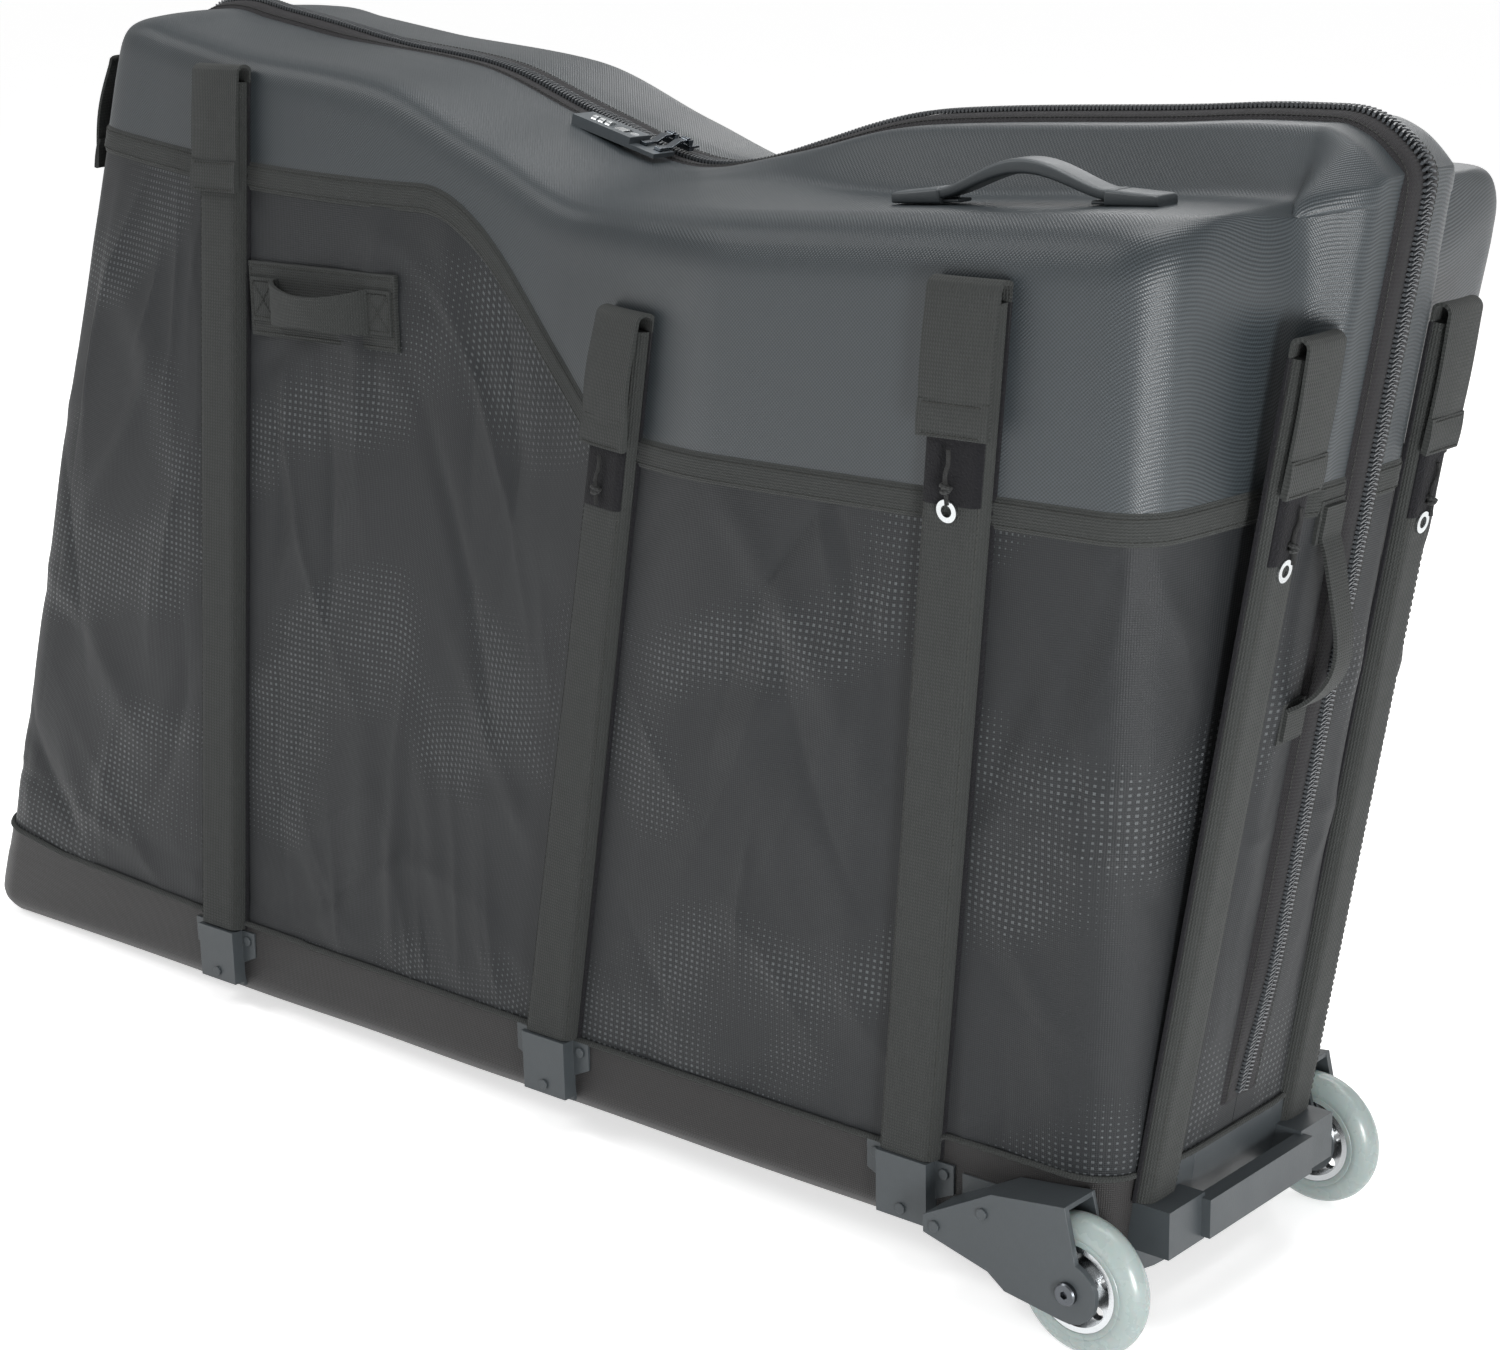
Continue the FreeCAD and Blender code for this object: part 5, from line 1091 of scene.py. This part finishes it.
GRAB_X, GRAB_Z, GRAB_HALF, GRAB_HIGH, GRAB_HEM = 526.7, 602.0, 84.0, 29.0, 3.0
GRAB_WIDTH, GRAB_NARROWS, GRAB_LOOP, GRAB_RISE, GRAB_SAG = 34.0, 10.0, 108.0, 19.0, 3.0
GRAB_CROSS = ((54, -14), (78, -14), (78, 14), (54, 14), (54, -14), (78, 14), (54, 14), (78, -14))
END_STRAP_HEAD, END_STRAP_FOOT, END_STRAP_Y, END_STRAP_WIDTH, END_STRAP_RISE = 533.0, 377.0, 33.0, 23.0, 24.0
END_PATCHES, END_PATCH_SPAN = ((508, 536), (374, 402)), (19.5, 46.5)
BLOCK_RUN = np.array([0.0, 0.8, 2.5, 12.0, 24.0, 36.0, 37.4, 38.0])
BLOCK_TOP = np.array([6.6, 7.4, 7.9, 8.7, 9.8, 10.9, 10.7, 10.0])
BLOCK_HALF = np.array([10.6, 11.4, 12.0, 12.0, 12.0, 12.0, 11.8, 11.2])
TONGUE_RUN, TONGUE_FOOT, TONGUE_TOP, TONGUE_HALF = np.array([36.0, 44.0, 50.0]), 1.0, 3.4, 7.0
GRIP_START, GRIP_FOOT, GRIP_TOP, GRIP_HALF, GRIP_BOW = 30.0, 3.6, 10.6, 10.6, (15.6, 18.4, 0.6)


def strap(form, chart, a, z, out, width, thick):
    """Webbing along a line of (a, z, out) places, with its width along the chart's other axis."""
    a, z, out, width = np.broadcast_arrays(*(np.asarray(v, float) for v in (a, z, out, width)))
    middle = chart.place(a, z, out)
    wide = np.array([0.0, 0.0, 1.0]) if np.ptp(a) > np.ptp(z) else np.array(ACROSS_CASE)
    normal = unit(np.cross(unit(np.gradient(middle, axis=0)), wide))[:, None]
    spread = np.linspace(-0.5, 0.5, 9)[None, :] * width[:, None]
    grid = middle[:, None] + spread[..., None] * wide
    uv = np.stack(np.broadcast_arrays(spread, run_along(middle)[:, None]), axis=2) / 1000
    form.slab(grid + thick / 2 * normal, grid - thick / 2 * normal, uv)


def build_side_handle(side):
    """Webbing grab handle: a sewn-on patch, its two ends and the loop between them."""
    form, thread = Form(), Form()
    a = np.linspace(GRAB_X - GRAB_HALF, GRAB_X + GRAB_HALF, 40)[:, None]
    form.patch(SIDE, a, np.linspace(GRAB_Z - GRAB_HIGH, GRAB_Z + GRAB_HIGH, 15)[None, :], 4.0, 0.4)
    for end in (-1, 1):
        strap(form, SIDE, GRAB_X + end * np.linspace(50, 80, 12), GRAB_Z, 5.2, GRAB_WIDTH, 2.4)
    share = np.linspace(0, 1, 41)
    rise = np.clip(np.sin(np.pi * share), 0, 1) ** 0.55
    strap(form, SIDE, GRAB_X + (share - 0.5) * GRAB_LOOP, GRAB_Z - GRAB_SAG * rise, 5.4 + GRAB_RISE * rise,
          GRAB_WIDTH - GRAB_NARROWS * rise ** 2, 3.0)
    form.on_side(side, "grab_handle", "webbing", "side_handle", WEBBING_EDGE)
    half, high = GRAB_HALF - GRAB_HEM, GRAB_HIGH - GRAB_HEM
    box = [(GRAB_X + p * half, GRAB_Z + q * high) for p, q in ((-1, -1), (1, -1), (1, 1), (-1, 1), (-1, -1))]
    thread.sew_corners(box, 30, 4.2, 4.0)
    for end in (-1, 1):
        thread.sew_corners([(GRAB_X + end * a, GRAB_Z + z) for a, z in GRAB_CROSS], 10, 6.6, 3.6, 2.4)
    thread.on_side(side, "grab_thread", "thread")


def build_end_handle():
    form = Form()
    share = np.linspace(0, 1, 61)
    loop = np.clip((share - 0.14) / 0.72, 0, 1)
    rise = np.sin(np.pi * loop ** 1.15) ** 0.7
    z = np.linspace(END_STRAP_HEAD, END_STRAP_FOOT, 61) - 6 * np.sin(np.pi * loop)
    strap(form, NOSE, END_STRAP_Y + 4 * np.sin(2 * np.pi * loop), z, 4.6 + END_STRAP_RISE * rise,
          END_STRAP_WIDTH - 3 * rise, 2.6)
    for low, high in END_PATCHES:
        form.patch(NOSE, np.linspace(*END_PATCH_SPAN, 9)[None, :], np.linspace(low, high, 9)[:, None], 3.2, 0.4)
    form.piece("near_end_strap", "webbing", "near_side", SIGN["near"], ("near_end_handle",), WEBBING_EDGE)


def bar(form, seat, along, low, high, half):
    """Bar along a handle, lofted through rounded sections between two heights."""
    turn = np.linspace(0, 2 * np.pi, 28, endpoint=False)
    edge = [np.sign(f(turn)) * np.abs(f(turn)) ** (2 / 5) for f in (np.cos, np.sin)]
    rings = []
    for s, bottom, top, wide in zip(*np.broadcast_arrays(along, low, high, half)):
        across, up = wide * edge[0], (top + bottom) / 2 + (top - bottom) / 2 * edge[1]
        rings.append(seat(np.full(28, s), across, up))
    form.tube(rings)


def build_carry_handle(side):
    """Moulded handle on the ledge: two end blocks and a bowed grip between them."""
    node = side + "_carry_handle"
    points = np.concatenate(islands(node)) * 1000
    ends = []
    for end in (points[:, 0].min(), points[:, 0].max()):
        face = points[np.abs(points[:, 0] - end) < 1.5]
        ends.append(face[face[:, 2].argmin()])
    a, b = (np.array([p[0], 0.0, p[2]]) for p in ends)
    length = np.linalg.norm(b - a)
    way = (b - a) / length
    up = np.array([-way[2], 0.0, way[0]])
    middle = (points[:, 1].min() + points[:, 1].max()) / 2

    def seat(s, across, height):
        spot = a + s[:, None] * way + height[:, None] * up
        spot[:, 1] = middle + across
        return spot

    form = Form()
    for turned in (False, True):
        block, tongue = (length - run if turned else run for run in (BLOCK_RUN, TONGUE_RUN))
        bar(form, seat, block, 0.2, BLOCK_TOP, BLOCK_HALF)
        bar(form, seat, tongue, TONGUE_FOOT, TONGUE_TOP, TONGUE_HALF)
    share = np.linspace(0, 1, 41)
    rise = np.clip(np.sin(np.pi * np.clip((share - 0.05) / 0.9, 0, 1)), 0, 1) ** 1.5
    low, high, half = (at + bow * rise for at, bow in zip((GRIP_FOOT, GRIP_TOP, GRIP_HALF), GRIP_BOW))
    bar(form, seat, GRIP_START + (length - 2 * GRIP_START) * share, low, high, half)
    form.piece(node + "_grip", "plate", side + "_side", 1, (node,), WEBBING_EDGE, True)


# Wheels

# Half of the tyre's outline, from its bore over the crown: radius, place across
TYRE = ((31.2, 11.4), (33.0, 12.0), (35.2, 12.0), (35.5, 11.7), (35.8, 11.9), (39.0, 11.6), (42.5, 10.4), (45.5, 8.5),
        (47.8, 6.2), (49.3, 3.4), (50.0, 0.0))


def build_tyre(side):
    """Cast tyre, round over its crown, turned about the axle."""
    radius, across = np.array(TYRE + tuple((r, -w) for r, w in TYRE[-2::-1])).T
    turn = np.linspace(0, 2 * np.pi, 120, endpoint=False)[:, None]
    points = np.stack(np.broadcast_arrays(AXLE_X + np.cos(turn) * radius, WHEEL_CENTRE + across,
                                          AXLE_Z + np.sin(turn) * radius), axis=2)
    index = np.arange(points.shape[0] * points.shape[1]).reshape(points.shape[:2])
    ahead = np.roll(index, -1, axis=0)
    faces = np.stack([index, ahead, np.roll(ahead, -1, axis=1), np.roll(index, -1, axis=1)], axis=2)
    form = Form()
    form.add(points, faces.reshape(-1, 4))
    form.piece(side + "_cast_tyre", "tyre", side + "_wheel", SIGN[side], (side + "_tyre",))


# Moulded and metal pieces: the CAD nodes with softened edges

SLOT_FOR = {row["node"]: row["material_slot"] for row in frame["record"]["subparts"]}
# Nodes and the width of their softened edges
SOFTENED = (
    ("end_cap", 1.6), ("near_wheel_housing", 1.2), ("far_wheel_housing", 1.2), ("near_anchors", 1.2),
    ("far_anchors", 1.2), ("rear_skids", 2.0), ("lock_body", 0.8), ("lock_release", 0.4), ("key_cylinder", 0.4),
    ("zip_sliders", 0.7), ("zip_pull_1", 0.6), ("zip_pull_2", 0.6), ("base_rivets", 0.5), ("rear_tab", 0.6),
    ("lock_dial_1", 0.3), ("lock_dial_2", 0.3), ("lock_dial_3", 0.3),
)


def soften(node, width):
    """Copy of a CAD node with rounded edges, in the node's place."""
    source = frame["nodes"][node]
    mesh = source.data.copy()
    mesh.name = node + "_moulded"
    work = bmesh.new()
    work.from_mesh(mesh)
    bmesh.ops.remove_doubles(work, verts=work.verts, dist=1e-6)
    bmesh.ops.dissolve_limit(work, angle_limit=math.radians(0.6), verts=work.verts, edges=work.edges)
    work.to_mesh(mesh)
    work.free()
    made = bpy.data.objects.new(node + "_moulded", mesh)
    bpy.context.collection.objects.link(made)
    mesh.materials.clear()
    mesh.materials.append(LOOKS[SLOT_FOR[node]])
    mesh.shade_smooth()
    round_edges = made.modifiers.new("soften", "BEVEL")
    round_edges.width, round_edges.segments, round_edges.limit_method = width / 1000, 2, "ANGLE"
    round_edges.angle_limit, round_edges.use_clamp_overlap = math.radians(32), True
    made.modifiers.new("even", "WEIGHTED_NORMAL").keep_sharp = True
    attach(made, body_of(source)[0])
    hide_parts(node)


for side in SIGN:
    for build in (build_shell, build_panels, build_skirt, build_binding, build_zip, build_sleeves, build_flaps,
                  build_cords, build_side_handle, build_carry_handle, build_tyre):
        build(side)
build_end_handle()
for name, node in frame["nodes"].items():
    node.data.materials.clear()
    node.data.materials.append(LOOKS["bolt" if name.endswith("_axle") else SLOT_FOR[name]])
for name, width in SOFTENED:
    soften(name, width)

# Camera, floor and light

CAMERA_SPOT, CAMERA_AZIMUTH, CAMERA_ELEVATION, CAMERA_LENS = (1.54055, -1.61360, 0.97834), 40.8744, 16.3153, 70.549
FLOOR_HALF, FLOOR_LIGHT, WORLD_LIGHT = 40, 0.6, 0.42
BLACK, WHITE = (0.0, 0.0, 0.0, 1.0), (1.0, 1.0, 1.0, 1.0)
# Lamps: name, place, what they aim at, width and height, power
LAMPS = (
    ("key", (-2.2, -2.2, 2.9), (0.0, 0.0, 0.4), (1.8, 1.4), 44),
    ("top", (0.3, 0.2, 3.2), (0.0, 0.0, 0.5), (3.0, 2.0), 72),
    ("end", (3.0, -0.9, 1.7), (0.5, 0.0, 0.4), (1.3, 1.8), 6),
    ("edge", (1.75, -0.95, 0.25), (0.6, -0.2, 0.65), (0.3, 0.5), 18),
    ("back", (-0.5, 3.0, 2.2), (0.0, 0.0, 0.4), (2.6, 1.6), 28),
)

camera = bpy.data.objects.new("camera", bpy.data.cameras.new("camera"))
camera.data.lens, camera.data.sensor_width, camera.data.sensor_fit = CAMERA_LENS, 36.0, "HORIZONTAL"
camera.data.clip_start, camera.data.clip_end = 0.05, 50.0
camera.location = CAMERA_SPOT
camera.rotation_euler = (math.pi / 2 - math.radians(CAMERA_ELEVATION), 0.0, math.radians(CAMERA_AZIMUTH))
bpy.context.collection.objects.link(camera)
bpy.context.scene.camera = camera

floor = bpy.data.objects.new("floor", bpy.data.meshes.new("floor"))
corners = [(FLOOR_HALF * p, FLOOR_HALF * q, 0) for p, q in ((-1, -1), (1, -1), (1, 1), (-1, 1))]
floor.data.from_pydata(corners, [], [(0, 1, 2, 3)])
bpy.context.collection.objects.link(floor)
floor_look = Look("floor", (246, 246, 246), 0.85, emission_strength=FLOOR_LIGHT)
path = Value(floor_look.tree)
rays = [path.node("LightPath", {}, out=f"Is {kind} Ray") for kind in ("Camera", "Glossy", "Transmission")]
seen = rays[0].math("MAXIMUM", rays[1]).math("MAXIMUM", rays[2])
floor_look.set("Emission Color", seen.blend(BLACK, WHITE))
floor_look.tint(floor_look.place().noise(2.0), 0.005)
floor.data.materials.append(floor_look.material)

for name, spot, aim, size, power in LAMPS:
    lamp = bpy.data.objects.new(name, bpy.data.lights.new(name, "AREA"))
    lamp.data.shape, lamp.data.size, lamp.data.size_y, lamp.data.energy = "RECTANGLE", *size, power
    lamp.location = spot
    lamp.rotation_euler = (Vector(aim) - Vector(spot)).to_track_quat("-Z", "Y").to_euler()
    bpy.context.collection.objects.link(lamp)
world = bpy.data.worlds.new("studio")
world.use_nodes = True
world.node_tree.nodes["Background"].inputs["Color"].default_value = WHITE
world.node_tree.nodes["Background"].inputs["Strength"].default_value = WORLD_LIGHT
bpy.context.scene.world = world
bpy.context.scene.view_settings.view_transform = "Standard"
